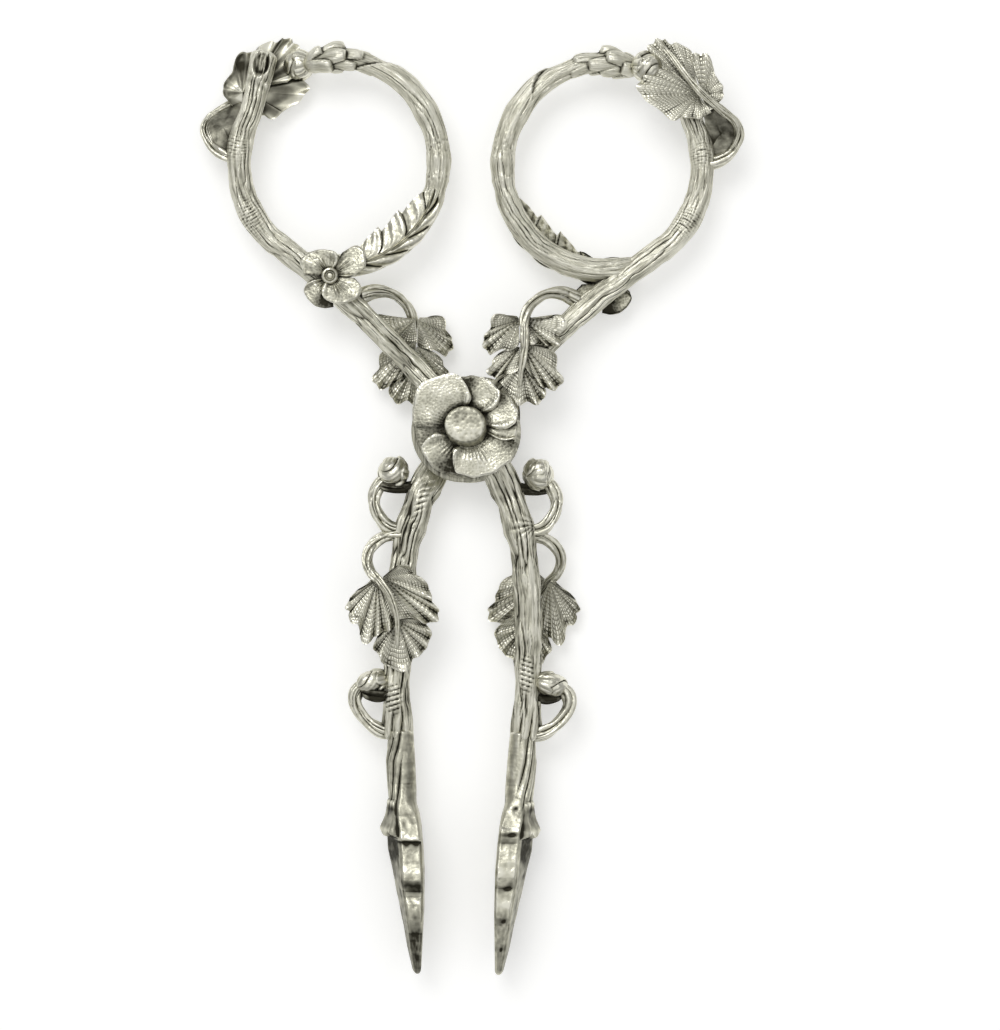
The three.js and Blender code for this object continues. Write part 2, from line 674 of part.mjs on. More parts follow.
function blossom() {
  const petal = (angle) => Math.abs(Math.cos((BLOSSOM_PETALS * angle) / 2));
  const petals = dish({
    around: 8 * BLOSSOM_PETALS,
    rings: 3,
    reach: (angle) => BLOSSOM_RADIUS * (1 - BLOSSOM_NOTCH * (1 - petal(angle) ** 0.6)),
    top: (share, angle) =>
      BLOSSOM_PLATE + BLOSSOM_RISE * share * petal(angle) ** 2 - BLOSSOM_RIM_DROP * smoothstep(share, 0.7, 1),
    bottom: () => 0,
    flat: true,
  });
  return moved(petals, blossomMiddle, new THREE.Matrix4().makeRotationZ(degToRad(BLOSSOM_TURN)));
}

function blossomBead() {
  const profile = [
    [0, 0],
    [BEAD_RADIUS, 0],
    [BEAD_RADIUS, BEAD_HEIGHT * 0.6],
    [BEAD_RADIUS * 0.75, BEAD_HEIGHT],
    [BEAD_RADIUS * 0.5, BEAD_HEIGHT - BEAD_DIMPLE],
    [0, BEAD_HEIGHT - BEAD_DIMPLE / 2],
  ];
  return moved(revolve(profile, BUD_SIDES), blossomMiddle.clone().add(point(0, 0, BLOSSOM_PLATE + SEAT_GAP)));
}

// Leaf-shaped grip, from the end of the bark to the tip

function gripSection(share) {
  const leafShare = smoothstep(share, GRIP_SHANK_SHARE, GRIP_CURL_SHARE);
  const inner = -eased(
    [[0, GRIP_SHANK_WIDTH / 2], [GRIP_SHANK_SHARE, GRIP_SHANK_WIDTH / 2], [GRIP_LEAF_SHARE, GRIP_SET_IN]],
    share,
  );
  const width = eased(
    [
      [0, GRIP_SHANK_WIDTH],
      [GRIP_SHANK_SHARE, GRIP_SHANK_WIDTH],
      [GRIP_CURL_SHARE, GRIP_CURL_WIDTH],
      [GRIP_LEAF_SHARE, GRIP_LEAF_WIDTH],
      [1, GRIP_TIP_WIDTH],
    ],
    share,
  );
  const toTip = Math.max(0, (share - GRIP_LEAF_SHARE) / (1 - GRIP_LEAF_SHARE));
  const breadth = lerp(GRIP_SHANK_DEPTH, GRIP_BREADTH, smoothstep(share, GRIP_SHANK_SHARE, 0.5));
  const tapered = lerp(GRIP_TIP_BREADTH, breadth, Math.sqrt(1 - toTip ** 2));
  const alongLeaf = (share - GRIP_SHANK_SHARE) / (1 - GRIP_SHANK_SHARE);
  const lobe = Math.abs(Math.sin(Math.PI * GRIP_LOBES * alongLeaf));
  const notch = GRIP_NOTCH * leafShare * (1 - lobe ** 0.5) * (1 - toTip);
  const half = tapered / 2 - notch;
  const edge = Math.min(GRIP_EDGE, width * 0.75);
  const keel = lerp(inner + edge, inner + width, 0.75);
  const cup = GRIP_CUP * leafShare * (1 - toTip);
  const corner = half * lerp(0.72, 0.96, leafShare);
  const oneSide = [
    [inner + cup * 0.6, half * 0.55],
    [inner, corner],
    [inner + edge / 2, half],
    [inner + edge, corner],
    [keel, half * 0.45],
  ];
  const otherSide = oneSide.map(([x, z]) => [x, -z]).reverse();
  return [[inner + cup, 0], ...oneSide, [inner + width, 0], ...otherSide];
}

function grip() {
  const root = jawPoint(JAW_REACH);
  const sections = [];
  for (let i = 0; i <= GRIP_STEPS; i++) {
    const share = i / GRIP_STEPS;
    const y = root.y - SEAT_GAP - GRIP_LENGTH * share;
    sections.push(gripSection(share).map(([x, z]) => point(root.x + x, y, z)).reverse());
  }
  return loft(sections);
}

// Pivot blossom: petals that each rise from a tucked edge to a free one, on a plate with the rivet's bore

function pivotBlossom() {
  const petalShare = (angle) => ((angle / (2 * Math.PI)) * PIVOT_PETALS + PIVOT_PETAL_TURN) % 1;
  const headShare = (RIVET_HEAD_RADIUS + SEAT_GAP - boreRadius) / (PIVOT_BLOSSOM_RADIUS - boreRadius);
  const petals = dish({
    around: 8 * PIVOT_PETALS,
    rings: 4,
    bore: boreRadius,
    reach: (angle) =>
      PIVOT_BLOSSOM_RADIUS - PIVOT_PETAL_NOTCH * (1 - Math.sin(Math.PI * petalShare(angle))) ** 3,
    top: (share, angle) => {
      const relief = lerp(-PIVOT_PETAL_SINK, PIVOT_PETAL_RISE, petalShare(angle));
      const clear = smoothstep(share, headShare, lerp(headShare, 1, 0.5));
      return PIVOT_BLOSSOM_PLATE + relief * clear - PIVOT_RIM_DROP * smoothstep(share, 0.75, 1);
    },
    bottom: () => 0,
    flat: true,
  });
  return moved(petals, point(0, 0, blossomSeat));
}

function pivotRivet() {
  const half = [
    [0, armHeight],
    [RIVET_HEAD_RADIUS - RIVET_HEAD_ROUNDING, armHeight],
    [RIVET_HEAD_RADIUS, armHeight - RIVET_HEAD_ROUNDING],
    [RIVET_HEAD_RADIUS, headSeat],
    [RIVET_RADIUS, headSeat],
  ];
  const otherHalf = half.map(([r, h]) => [r, -h]);
  return revolve([...otherHalf, ...half.reverse()], RIVET_SIDES);
}

// Assembly

const SILVER = { color: 0xc9c6b4, roughness: 0.34, metalness: 1.0 };
const WORN_SILVER = { color: 0xd9d7cc, roughness: 0.24, metalness: 1.0 };

function mesh(name, solid, finish = SILVER) {
  const made = new THREE.Mesh(geometryOf(solid), new THREE.MeshStandardMaterial(finish));
  made.name = name;
  return made;
}

function arm(prefix) {
  const boughRoom = boughRod(SEAT_GAP);
  const branchRoom = ringBranchRod(SEAT_GAP);
  const pivotRadius = Math.max(BOSS_RADIUS, PIVOT_BLOSSOM_RADIUS);
  const pivotRoom = column(pivotRadius + SWING_CLEARANCE, -armHeight, armHeight);
  const pieces = {
    bough: bough(),
    ring_branch: seated(ringBranchRod(), boughRoom),
    ring_bud: seated(ringBud(), branchRoom, boughRoom),
    ring_leaf: seated(ringLeaf.solid, ringBud(SEAT_GAP), branchRoom),
    ring_tendril: seated(leafStalk(ringRoute, RING_TENDRIL).add(ringWeb()), boughRoom),
    sheath_leaf: sheathLeaf(),
    blossom: blossom(),
    blossom_bead: blossomBead(),
    shoulder_leaf: seated(shoulderLeaf.solid, pivotRoom),
    shoulder_tendril: seated(leafStalk(shoulderRoute, SHOULDER_TENDRIL), boughRoom),
    upper_bud: seated(upperBud(), boughRoom),
    upper_tendril: seated(upperTendril(), boughRoom, upperBud(SEAT_GAP)),
    jaw_leaf: jawLeaf.solid,
    jaw_tendril: seated(leafStalk(jawRoute, JAW_TENDRIL), boughRoom),
    lower_bud: seated(lowerBud(), boughRoom),
    lower_tendril: seated(lowerTendril(), boughRoom, lowerBud(SEAT_GAP)),
    grip: grip(),
    pivot_blossom: pivotBlossom(),
  };
  const group = new THREE.Group();
  for (const [piece, solid] of Object.entries(pieces)) {
    group.add(mesh(`${prefix}_${piece}`, solid));
  }
  return group;
}

const frontArm = arm("front");
const rearArm = arm("rear");
rearArm.rotation.y = Math.PI;

const tongs = new THREE.Group();
tongs.add(frontArm, rearArm, mesh("pivot_rivet", pivotRivet(), WORN_SILVER));
tongs.position.z = armHeight;

export default tongs;
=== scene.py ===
"""Sugar tongs in cast, chased and oxidised silver: the vine-branch arms and the studio round them.

Every shape is modelled for one arm, in millimetres about the arm's mid-plane: X across, Y to the
finger rings, Z to the bark's front. The front arm takes it as it is, and the rear arm takes it
turned half round about Y.
"""

import json
import math
from collections import namedtuple

import bmesh
import bpy
import numpy as np
from bpy.props import FloatProperty, FloatVectorProperty, PointerProperty
from mathutils import Matrix, Vector


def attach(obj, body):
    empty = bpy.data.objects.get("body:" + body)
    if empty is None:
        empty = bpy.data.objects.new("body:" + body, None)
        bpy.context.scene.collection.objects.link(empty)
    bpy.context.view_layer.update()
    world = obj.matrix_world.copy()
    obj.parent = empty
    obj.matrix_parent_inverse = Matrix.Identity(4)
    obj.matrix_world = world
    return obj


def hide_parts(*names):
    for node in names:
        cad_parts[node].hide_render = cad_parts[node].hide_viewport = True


bl_info = {
    "name": "Sugar Tongs",
    "version": (1, 0, 0),
    "blender": (4, 5, 0),
    "location": "View3D > Sidebar > Sugar Tongs",
    "description": "Vine-branch sugar tongs in oxidised silver, dressed over their packed solids",
    "category": "Add Mesh",
}

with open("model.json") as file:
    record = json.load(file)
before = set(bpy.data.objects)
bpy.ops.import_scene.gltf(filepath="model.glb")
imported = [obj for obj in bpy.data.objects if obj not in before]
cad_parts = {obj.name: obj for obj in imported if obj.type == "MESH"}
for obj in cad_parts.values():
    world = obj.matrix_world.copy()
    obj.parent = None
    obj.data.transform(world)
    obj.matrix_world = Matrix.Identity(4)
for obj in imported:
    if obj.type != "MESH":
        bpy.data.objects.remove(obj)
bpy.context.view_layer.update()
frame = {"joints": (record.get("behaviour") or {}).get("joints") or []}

MM = 0.001
TURN = 2 * math.pi
ARM_HEIGHT = frame["joints"][0]["pos_m"][2] / MM  # of an arm's mid-plane above the floor
ARMS = {"front": 0.0, "rear": math.pi}  # turn about Y of the pattern on each arm
UP = np.array((0.0, 0.0, 1.0))
GRAIN_ROWS = 97  # random values along y, after which grain repeats
SHARP_EDGE = math.radians(62)  # faces that meet at more than this show an edge
SEAM = 1e-4  # points closer than this are merged

# The photograph that the camera matches: pixels, millimetres to a pixel, and roll
PHOTO_SIZE = (1000, 1030)
PHOTO_PIVOT = (466.5, 428)
PHOTO_SCALE = 0.135
PHOTO_ROLL = math.radians(0.9)

# Studio, in metres
SENSOR = 36  # millimetres
FLOOR_HALF = 3.0
FLOOR_GAP = 0.0002  # keeps the rivet's face clear of the paper
PAPER_LIFT = 0.42  # light that the paper adds, for the eye and for what the silver reflects
KEY_SIZE, KEY_PLACE = 0.5, (-0.22, 0.45, 0.75)
OVERHEAD_SIZE, OVERHEAD_PLACE = 1.5, (0.0, 0.0, 0.75)

# Silver: sizes in millimetres of what the patina and the painted shade follow
OCCLUSION_REACH = 1.4
CLOUD_WIDTH = 2.5
MOULD_GRAIN, MOULD_DEPTH = 0.3, 0.03
WAVE_PERIOD = 0.314  # of the wave texture at a scale of 1
PAINTED_SHADE = 0.6  # painted shade of what lies in the shade for good

# Pivot stack, above an arm's mid-plane
LAP_FROM = 0.1
LAP_FADE = 5.0  # over which a bough thins out beside the boss
LAP_LIFT = 1.25
BOSS_TOP = 2.4
BOSS_RADIUS = 6.45
BOSS_FLARE = 0.55
BOSS_LEAN = (-0.45, -0.45)  # of the boss's top
BLOSSOM_SEAT = 2.55
BLOSSOM_RADIUS = 6.9
BLOSSOM_PLATE = 0.4  # thickness of the plate under the petals
PETAL_ROOM = 1.9  # most that a petal can rise above its seat
SWING_ROOM = 7.4  # nothing of the other arm comes closer to the pivot at the blossom's height
HEAD_SEAT = 3.4
HEAD_LEAN = (-0.2, 0.42)  # of the rivet's face
HEAD_PROFILE = ((0.0, 0.0), (1.4, 0.02), (2.35, 0.06), (2.6, 0.16), (2.75, 0.4), (2.8, 0.9))
COLLAR_PROFILE = ((2.85, 0.2), (1.6, 0.25))  # radius, and depth below the head's seat

# Middle lines
RING_CENTRE = (-17.8, 35.6)
RING_RADII = (13.5, 14.0)
SHOOT_AT = 152
NECK_AT = 238
BRANCH_SPAN = (246, 471)
SHEATH_SPAN = (281, 345)
NECK_BOW = 1.1
SHOOT_LENGTH = 8.6
SHOOT_LEAN = math.radians(12)
JAW_REACH = 42.4
JAW_SPREAD = 8.6
JAW_CURL = 4.5
JAW_BELLY = 0.35

# Bumps along the bough by height above the pivot, and along the ring branch by degrees round the
# ring: middle, spread, and how far each one swells
RING_SWELLINGS = ((28.5, 2.0, 0.22), (37.0, 2.0, 0.15))
JAW_SWELLINGS = ((-7.5, 2.5, 0.3), (-13.4, 1.8, 0.22), (-33, 3, -0.12), (-40.2, 2.6, 0.3))
RING_KNOTS = ((28.2, 1.9, 1.0), (37.3, 1.5, 0.8))
BRANCH_SWELLINGS = ((456, 8, 0.3), (391, 5, 0.16), (362, 4, 0.14), (346, 3, -0.14))
BRANCH_KNOTS = ((370, 5, 1.0), (352, 3, 1.0))
# Scales of the knuckle: degrees round the ring, share of the turn round the branch, half length,
# half width, and height
KNUCKLE_SCALES = (
    (455, 0.5, 8, 0.17, 0.9), (453, 0.28, 7, 0.15, 0.75), (462, 0.12, 8, 0.17, 0.7),
    (465, 0.4, 6, 0.15, 0.7), (444, 0.34, 7, 0.15, 0.5), (447, 0.1, 7, 0.16, 0.5),
    (459, 0.68, 9, 0.16, 0.6), (449, 0.8, 9, 0.16, 0.55), (467, 0.82, 7, 0.17, 0.6),
    (455, 0.95, 8, 0.15, 0.55), (441, 0.62, 8, 0.17, 0.4), (437, 0.9, 8, 0.14, 0.3),
)

# Grip, by distance below the pivot: its inner and outer face, half its breadth, and how far its
# edges dip below the leaf's outline
GRIP_FROM, GRIP_LENGTH = JAW_REACH - 1.8, 33.2
GRIP_WIDEST = 4.7
GRIP_INNER = (
    (40, 6.6), (45, 6.2), (50, 5.9), (54, 5.3), (57, 5.0), (60, 4.8), (65, 4.75), (74, 5.0),
)
GRIP_OUTER = (
    (40, 9.8), (45, 10.2), (50, 9.8), (54, 9.9), (57, 9.7), (60, 9.0), (65, 7.9), (70, 6.9),
    (74, 5.9),
)
GRIP_HALF = (
    (40, 1.5), (48, 1.65), (51, 2.9), (54, 4.1), (58, 4.7), (61, 4.7), (66, 4.2), (70.5, 2.8),
    (73, 1.4), (74, 0.6),
)
GRIP_BACK_EDGE = (
    (49, 0.6), (50.5, 0.25), (54, 0.15), (55, -0.15), (55.3, -0.1), (55.6, 0.85), (56.3, 0.75),
    (58.4, 0.45), (59.6, 0.1), (60.6, -0.1), (61.1, 0.1), (62.2, 0.95), (63, 1.05), (63.8, 0.5),
    (64.6, 0.3), (66.3, 0.3), (66.9, 0.55), (68, 1.15), (69, 1.1), (70.5, 0.6), (74, 0.6),
)
GRIP_FRONT_EDGE = (
    (49, 0.4), (51, 0.1), (54.8, 0), (55.5, 0.35), (56.5, 0.2), (60, 0), (61.5, 0.4), (62.5, 0.2),
    (65.5, 0.05), (66.5, 0.35), (68, 0.15), (70, 0.3), (74, 0.3),
)
GRIP_PITS = (51, 54.4, 61.6, 66, 70)
GRIP_SECTION = (0.0, 0.19, 0.22, 0.35, 0.39, 0.5)  # share of the turn, from keel to cupped face
# Painted light on the edges: a painted highlight on the lobes' ends, painted shade in the notches
# and at the tip
GRIP_BACK_PAINTED_LIGHT = (
    (55.0, 0.6, -0.3), (55.8, 0.5, 0.38), (59.3, 0.8, -0.3), (61.3, 0.8, 0.42), (63.4, 0.6, -0.35),
    (68.2, 1.8, 0.4), (72.5, 3.0, 0.45),
)
GRIP_FRONT_PAINTED_LIGHT = (
    (53.6, 0.5, -0.3), (54.4, 0.5, 0.5), (59.6, 1.0, -0.25), (61.6, 0.45, 0.4), (63.7, 0.7, -0.3),
    (66.0, 0.6, 0.35), (69.9, 0.5, 0.4), (73.5, 1.5, 0.25),
)
CALYX_RIMS = ((51.3, 0.4, 0.4), (54.2, 0.35, -0.35), (50.5, 0.25, -0.3))

# Lobes of the vine leaves: number of pleats, height of the rim above the seat, apex, and points of
# the rim
LEAF_SEAT = 1.75  # the leaves' inner face, behind the arm's mid-plane
JAW_LEAF = (
    (8, 0.0, (8.8, -26.1), (
        (10.4, -26.2), (11.4, -27.8), (11.9, -29.2), (12.0, -30.2), (11.2, -30.8), (10.8, -31.8),
        (10.1, -32.4), (9.0, -32.7), (7.9, -32.8), (7.0, -32.4), (6.6, -31.2), (5.8, -30.7),
        (5.0, -30.1), (4.7, -29.1), (4.2, -28.3), (4.4, -27.2), (5.2, -26.2), (6.6, -25.6),
        (8.0, -25.6),
    )),
    (7, 0.7, (11.6, -20.6), (
        (12.2, -20.3), (13.2, -21.3), (14.4, -22.1), (15.2, -23.1), (15.8, -24.3), (15.3, -24.9),
        (15.5, -25.6), (14.9, -26.4), (14.1, -26.5), (13.9, -27.5), (13.9, -28.4), (13.4, -29.1),
        (12.4, -29.0), (11.6, -28.1), (10.7, -27.7), (9.9, -27.4), (9.4, -26.6), (9.0, -25.7),
    )),
    (8, 0.8, (11.0, -20.3), (
        (10.0, -19.6), (9.4, -18.9), (8.4, -18.5), (7.3, -18.7), (6.5, -19.7), (5.6, -20.3),
        (4.7, -21.3), (4.3, -22.3), (4.3, -23.2), (3.6, -24.0), (3.2, -24.9), (3.4, -25.8),
        (4.2, -26.4), (5.3, -26.3), (6.3, -25.8), (7.4, -25.8), (8.5, -25.7), (9.3, -25.4),
    )),
)
SHOULDER_LEAF = (
    (6, 0.0, (-7.2, 8.5), (
        (-5.5, 7.6), (-4.4, 6.6), (-3.8, 5.7), (-4.3, 4.8), (-5.3, 4.0), (-6.2, 3.3), (-7.2, 3.1),
        (-8.1, 3.5), (-9.1, 3.2), (-10.0, 3.5), (-10.5, 4.4), (-10.7, 5.2), (-9.8, 5.6),
        (-9.0, 6.2), (-8.3, 7.2),
    )),
    (4, 0.2, (-7.0, 11.0), (
        (-5.2, 10.6), (-4.0, 9.9), (-3.3, 9.1), (-3.2, 8.4), (-2.6, 7.7), (-3.1, 6.9), (-4.0, 6.8),
        (-4.9, 7.2), (-5.9, 7.4), (-6.7, 7.7), (-7.1, 8.5),
    )),
    (6, 0.4, (-7.1, 11.6), (
        (-8.8, 11.5), (-10.2, 11.1), (-11.4, 10.4), (-12.1, 9.6), (-12.2, 8.7), (-12.1, 7.9),
        (-12.8, 7.0), (-12.8, 6.0), (-12.1, 5.3), (-11.1, 5.2), (-10.1, 5.6), (-9.2, 6.2),
        (-8.5, 7.2), (-7.8, 8.1), (-7.0, 8.6),
    )),
    (6, 0.75, (-6.9, 14.6), (
        (-6.6, 15.0), (-5.5, 15.1), (-4.6, 15.3), (-3.6, 15.2), (-3.1, 14.5), (-3.0, 13.5),
        (-2.4, 12.6), (-2.0, 11.6), (-2.2, 10.6), (-3.0, 9.8), (-3.8, 10.2), (-4.6, 10.5),
        (-5.4, 10.2), (-6.2, 10.6), (-6.9, 11.2),
    )),
    (6, 0.8, (-7.2, 14.7), (
        (-8.2, 15.0), (-9.4, 14.6), (-10.6, 14.7), (-11.7, 15.3), (-12.7, 15.2), (-13.1, 14.2),
        (-12.8, 13.2), (-12.4, 12.5), (-12.6, 11.7), (-11.8, 11.0), (-10.7, 11.1), (-9.7, 11.6),
        (-8.8, 11.3), (-7.8, 11.2), (-6.9, 11.4),
    )),
)
RING_LEAF = (
    (7, 0.1, (-30.0, 45.8), (
        (-24.9, 46.6), (-23.9, 48.3), (-24.0, 50.1), (-23.6, 51.4), (-24.4, 52.3), (-25.6, 52.6),
        (-26.4, 52.1), (-27.5, 52.0), (-28.5, 51.8), (-29.2, 51.2), (-29.8, 50.1),
    )),
    (6, 0.4, (-31.1, 45.0), (
        (-29.0, 50.6), (-30.0, 50.6), (-31.0, 50.7), (-32.0, 50.1), (-32.4, 49.0), (-32.6, 47.8),
        (-33.4, 46.9), (-33.8, 45.8), (-33.7, 44.7), (-33.1, 43.9), (-32.3, 43.2), (-31.2, 42.8),
    )),
    (7, 0.6, (-30.4, 45.2), (
        (-27.0, 48.2), (-25.2, 48.4), (-23.6, 47.8), (-22.5, 46.8), (-22.2, 45.7), (-22.8, 44.7),
        (-23.7, 44.0), (-24.6, 43.4), (-25.5, 42.6), (-26.3, 42.0), (-27.4, 41.6), (-28.3, 42.1),
        (-29.4, 41.9), (-30.8, 41.9), (-32.2, 42.7),
    )),
)
# Pieces that are leaves: node, lobes, and whether the back is plain
LEAVES = (
    ("jaw_leaf", JAW_LEAF, False),
    ("shoulder_leaf", SHOULDER_LEAF, False),
    ("ring_leaf", RING_LEAF, True),
)

# Petals: height at the first and at the last edge; as shares of the petal's width, where the next
# petal covers it and where fine lines run from its root, -1 for none; and the reach in each
# direction in degrees
BLOSSOM_MIDDLE = (-18.6, 20.05)
BLOSSOM = (
    (0.0, 0.1, 0.8, 0.5, ((-160, 3.4), (-148, 4.1), (-130, 4.4), (-106, 4.5), (-83, 4.2))),
    (0.35, 0.1, 1.1, 0.5, ((4, 3.4), (14, 4.9), (27, 5.4), (40, 5.7), (52, 5.2), (64, 3.6))),
    (0.35, 0.3, 1.2, 0.5, ((66, 3.0), (84, 3.4), (114, 3.8), (138, 4.4), (158, 4.3), (180, 3.5))),
    (0.6, 0.45, 1.2, 0.5, (
        (-122, 2.3), (-105, 3.1), (-82, 3.7), (-57, 4.3), (-36, 4.8), (-18, 4.4), (-4, 3.3),
    )),
)
PIVOT_PETALS = (
    (0.4, 0.0, 0.68, -1, ((-13, 6.8), (0, 6.9), (14, 6.7))),
    (0.95, 0.05, 0.84, -1, ((43, 6.2), (52, 6.8), (66, 7.0), (82, 6.9), (99, 6.6))),
    (1.1, 0.1, 0.82, -1, ((6, 6.6), (18, 7.1), (34, 7.1), (51, 6.6))),
    (1.0, 0.1, 0.78, 0.45, ((200, 5.9), (207, 6.6), (222, 6.9), (242, 6.9), (264, 6.6))),
    (1.4, 0.5, 1.2, 0.88, (
        (90, 5.2), (98, 6.9), (110, 7.4), (124, 7.7), (139, 8.2), (158, 7.7), (180, 7.2),
    )),
    (1.3, 0.15, 1.1, 0.5, (
        (-110, 4.4), (-101, 6.2), (-84, 6.6), (-60, 7.1), (-36, 7.5), (-16, 7.2),
    )),
)
BEAD_SEAT = 2.2
BEAD_PROFILE = (
    (0, 1.05), (0.3, 1.0), (0.48, 0.72), (0.6, 0.7), (0.8, 1.0), (1.0, 0.92), (1.12, 0.55),
    (1.15, 0.0),
)

# Tendrils: points of their middle lines
SHOULDER_STALK = (
    (-14.6, 17.6, 0), (-12.6, 18.3, -0.8), (-10.4, 18.1, -1.7), (-8.5, 16.7, -2.5),
    (-7.6, 14.8, -3.1), (-7.6, 12.8, -3.4), (-7.6, 10.6, -3.4), (-7.3, 7.9, -3.2),
    (-7.05, 5.4, -2.8),
)
JAW_STALK = (
    (8.6, -14.5, 0), (10.8, -14.8, -0.4), (12.5, -16.1, -0.9), (13.1, -17.9, -1.6),
    (12.5, -19.6, -2.5), (11.3, -20.8, -3.1), (10.0, -22.5, -3.5), (9.2, -24.4, -3.6),
    (8.8, -26.4, -3.4), (8.8, -29.8, -2.9),
)
RING_STALK = (
    (-31.2, 36.0, 0), (-33.3, 36.5, -0.2), (-35.0, 37.6, -0.6), (-36.1, 39.8, -1.2),
    (-35.5, 41.6, -1.9), (-33.8, 42.9, -2.5), (-32.3, 44.0, -3.0), (-30.4, 45.6, -3.4),
    (-28.7, 47.5, -3.4), (-26.9, 49.9, -3.1), (-25.5, 51.6, -2.6),
)
UPPER_STALK = (
    (7.2, -13.5, 0), (9.3, -13.8, 0.1), (11.0, -13.0, 0.1), (12.1, -11.2, 0), (12.3, -9.4, 0),
    (11.6, -7.8, 0), (10.6, -6.9, 0),
)
LOWER_STALK = (
    (8.6, -41.3, 0), (10.9, -41.0, 0.1), (12.8, -39.8, 0.1), (14.2, -38.0, 0), (14.5, -36.5, 0),
    (13.9, -35.3, 0), (12.6, -34.8, 0),
)
UPPER_SHADE_BAR = ((6.6, -7.9, 0.2), (9.2, -8.2, -0.4), (11.6, -8.0, -0.6))
LOWER_SHADE_BAR = ((9.0, -35.9, 0), (11.4, -36.2, -0.4), (13.6, -35.8, -0.6))
TENDRIL_STRANDS = 4
# Pieces that are tendrils: node, middle line, radius at the root and at the tip, and seed
TENDRILS = (
    ("shoulder_tendril", SHOULDER_STALK, 0.95, 0.3, 50),
    ("jaw_tendril", JAW_STALK, 0.95, 0.25, 51),
    ("upper_tendril", UPPER_STALK, 0.95, 0.85, 52),
    ("lower_tendril", LOWER_STALK, 0.95, 0.85, 53),
)
RING_TENDRIL = (RING_STALK, 0.9, 0.3, 54)
WEB_MIDDLE = (-33.6, 40.2, -0.8)
WEB_RIM = (
    *RING_STALK[:7], (-31.2, 43.4, -2.0), (-31.6, 41.0, -0.8), (-31.8, 38.5, 0), (-31.2, 36.0, 0),
)

# Buds: node; middle, radius, length, direction and seed; and the bar under the bud, painted black
# as the shade there
BUDS = (
    ("upper_bud", ((9.8, -6.1, 0), 2.15, 4.2, (0.8, 0.15, -0.55), 1), (UPPER_SHADE_BAR, 0.85, 0.7, 70)),
    ("lower_bud", ((12, -34.4, 0), 1.6, 4.9, (0.95, -0.25, -0.25), 2), (LOWER_SHADE_BAR, 0.95, 0.75, 71)),
    ("ring_bud", ((-23.5, 48.9, -1.7), 2.0, 4.2, (-0.9, -0.1, -0.4), 3), None),
)

Spot = namedtuple("Spot", "along angle place inside")  # where a rod's skin is asked for


def rgb(hex_colour):
    """An sRGB hex colour as linear red, green, blue and alpha."""
    parts = [int(hex_colour[i : i + 2], 16) / 255 for i in (1, 3, 5)]
    linear = [c / 12.92 if c <= 0.04045 else ((c + 0.055) / 1.055) ** 2.4 for c in parts]
    return (*linear, 1.0)


# Settings


def colour_setting(name, description, hex_colour):
    return FloatVectorProperty(
        name=name, description=description, subtype="COLOR", size=4, default=rgb(hex_colour)
    )


def share_setting(name, description, default):
    return FloatProperty(
        name=name, description=description, subtype="FACTOR", min=0, max=1, default=default
    )


def length_setting(name, description, millimetres):
    return FloatProperty(
        name=name, description=description, unit="LENGTH", default=millimetres * MM
    )


def power_setting(name, description, watts):
    return FloatProperty(name=name, description=description, unit="POWER", default=watts)


class SilverSettings(bpy.types.PropertyGroup):
    """Colours and gloss of the silver."""

    # The worn colour also stands for painted highlights, and the patina colour for painted shade.
    worn: colour_setting("Worn silver", "Colour of the rubbed high points", "#e6e4d5")
    silver: colour_setting("Silver", "Colour of the cast surface", "#cdcbb9")
    patina: colour_setting("Patina", "Colour of the sulphide in the hollows", "#3b392f")
    gloss: share_setting("Roughness", "Of the rubbed silver", 0.3)
    patina_gloss: share_setting("Patina roughness", "Of the hollows", 0.6)


class ReliefSettings(bpy.types.PropertyGroup):
    """Sizes of the chased relief."""

    bark_groove: length_setting("Bark groove", "Depth of the bark's grooves", 0.4)
    bark_strand: length_setting("Bark strand", "Width of one strand of bark", 0.6)
    leaf_thickness: length_setting("Leaf thickness", "Of leaves and petals", 0.45)
    leaf_groove: length_setting("Leaf groove", "Depth of the grooves between a leaf's pleats", 0.3)
    hatch: length_setting("Hatching", "Mesh of the net of lines chased on the leaves", 0.42)


class StudioSettings(bpy.types.PropertyGroup):
    """Camera and light."""

    lens: FloatProperty(
        name="Lens", description="Focal length in millimetres", min=20, max=300, default=100
    )
    floor: colour_setting("Floor", "Colour of the floor", "#eeeeed")
    key: power_setting("Key light", "Power of the softbox beyond the rings", 2.0)
    overhead: power_setting("Overhead", "Power of the wide overhead light", 2.7)
    surround: FloatProperty(
        name="Surround", description="Level of the pale room round the table", min=0, default=0.38
    )


class SugarTongsSettings(bpy.types.PropertyGroup):
    """All that a user would change."""

    silver: PointerProperty(type=SilverSettings)
    relief: PointerProperty(type=ReliefSettings)
    studio: PointerProperty(type=StudioSettings)


# Curves and random grain


def ease(x, low, high):
    """A smooth step from 0 at low to 1 at high."""
    t = np.clip((x - low) / (high - low), 0, 1)
    return t * t * (3 - 2 * t)


def swell(x, middle, spread):
    """A smooth bump of height 1."""
    return np.exp(-(((x - middle) / spread) ** 2))


def swells(x, bumps):
    """Several smooth bumps, each given by middle, spread and height."""
    return sum(height * swell(x, middle, spread) for middle, spread, height in bumps)


def along_table(x, table):
    """Values between those of a table of places and values."""
    return np.interp(x, *np.array(table, float).T)


def grain(x, y, seed, wrap=64):
    """Smooth random values from -1 to 1, one for each unit cell, that repeat after wrap cells
    along x."""
    table = np.random.default_rng(seed).uniform(-1, 1, (wrap, GRAIN_ROWS))
    i, j = np.floor(x).astype(int), np.floor(y).astype(int)
    f, g = x - i, y - j
    f, g = f * f * (3 - 2 * f), g * g * (3 - 2 * g)
    near, far = table[i % wrap], table[(i + 1) % wrap]
    rows = np.arange(len(x))
    under, over = j % GRAIN_ROWS, (j + 1) % GRAIN_ROWS
    low = near[rows, under] * (1 - f) + far[rows, under] * f
    high = near[rows, over] * (1 - f) + far[rows, over] * f
    return low * (1 - g) + high * g


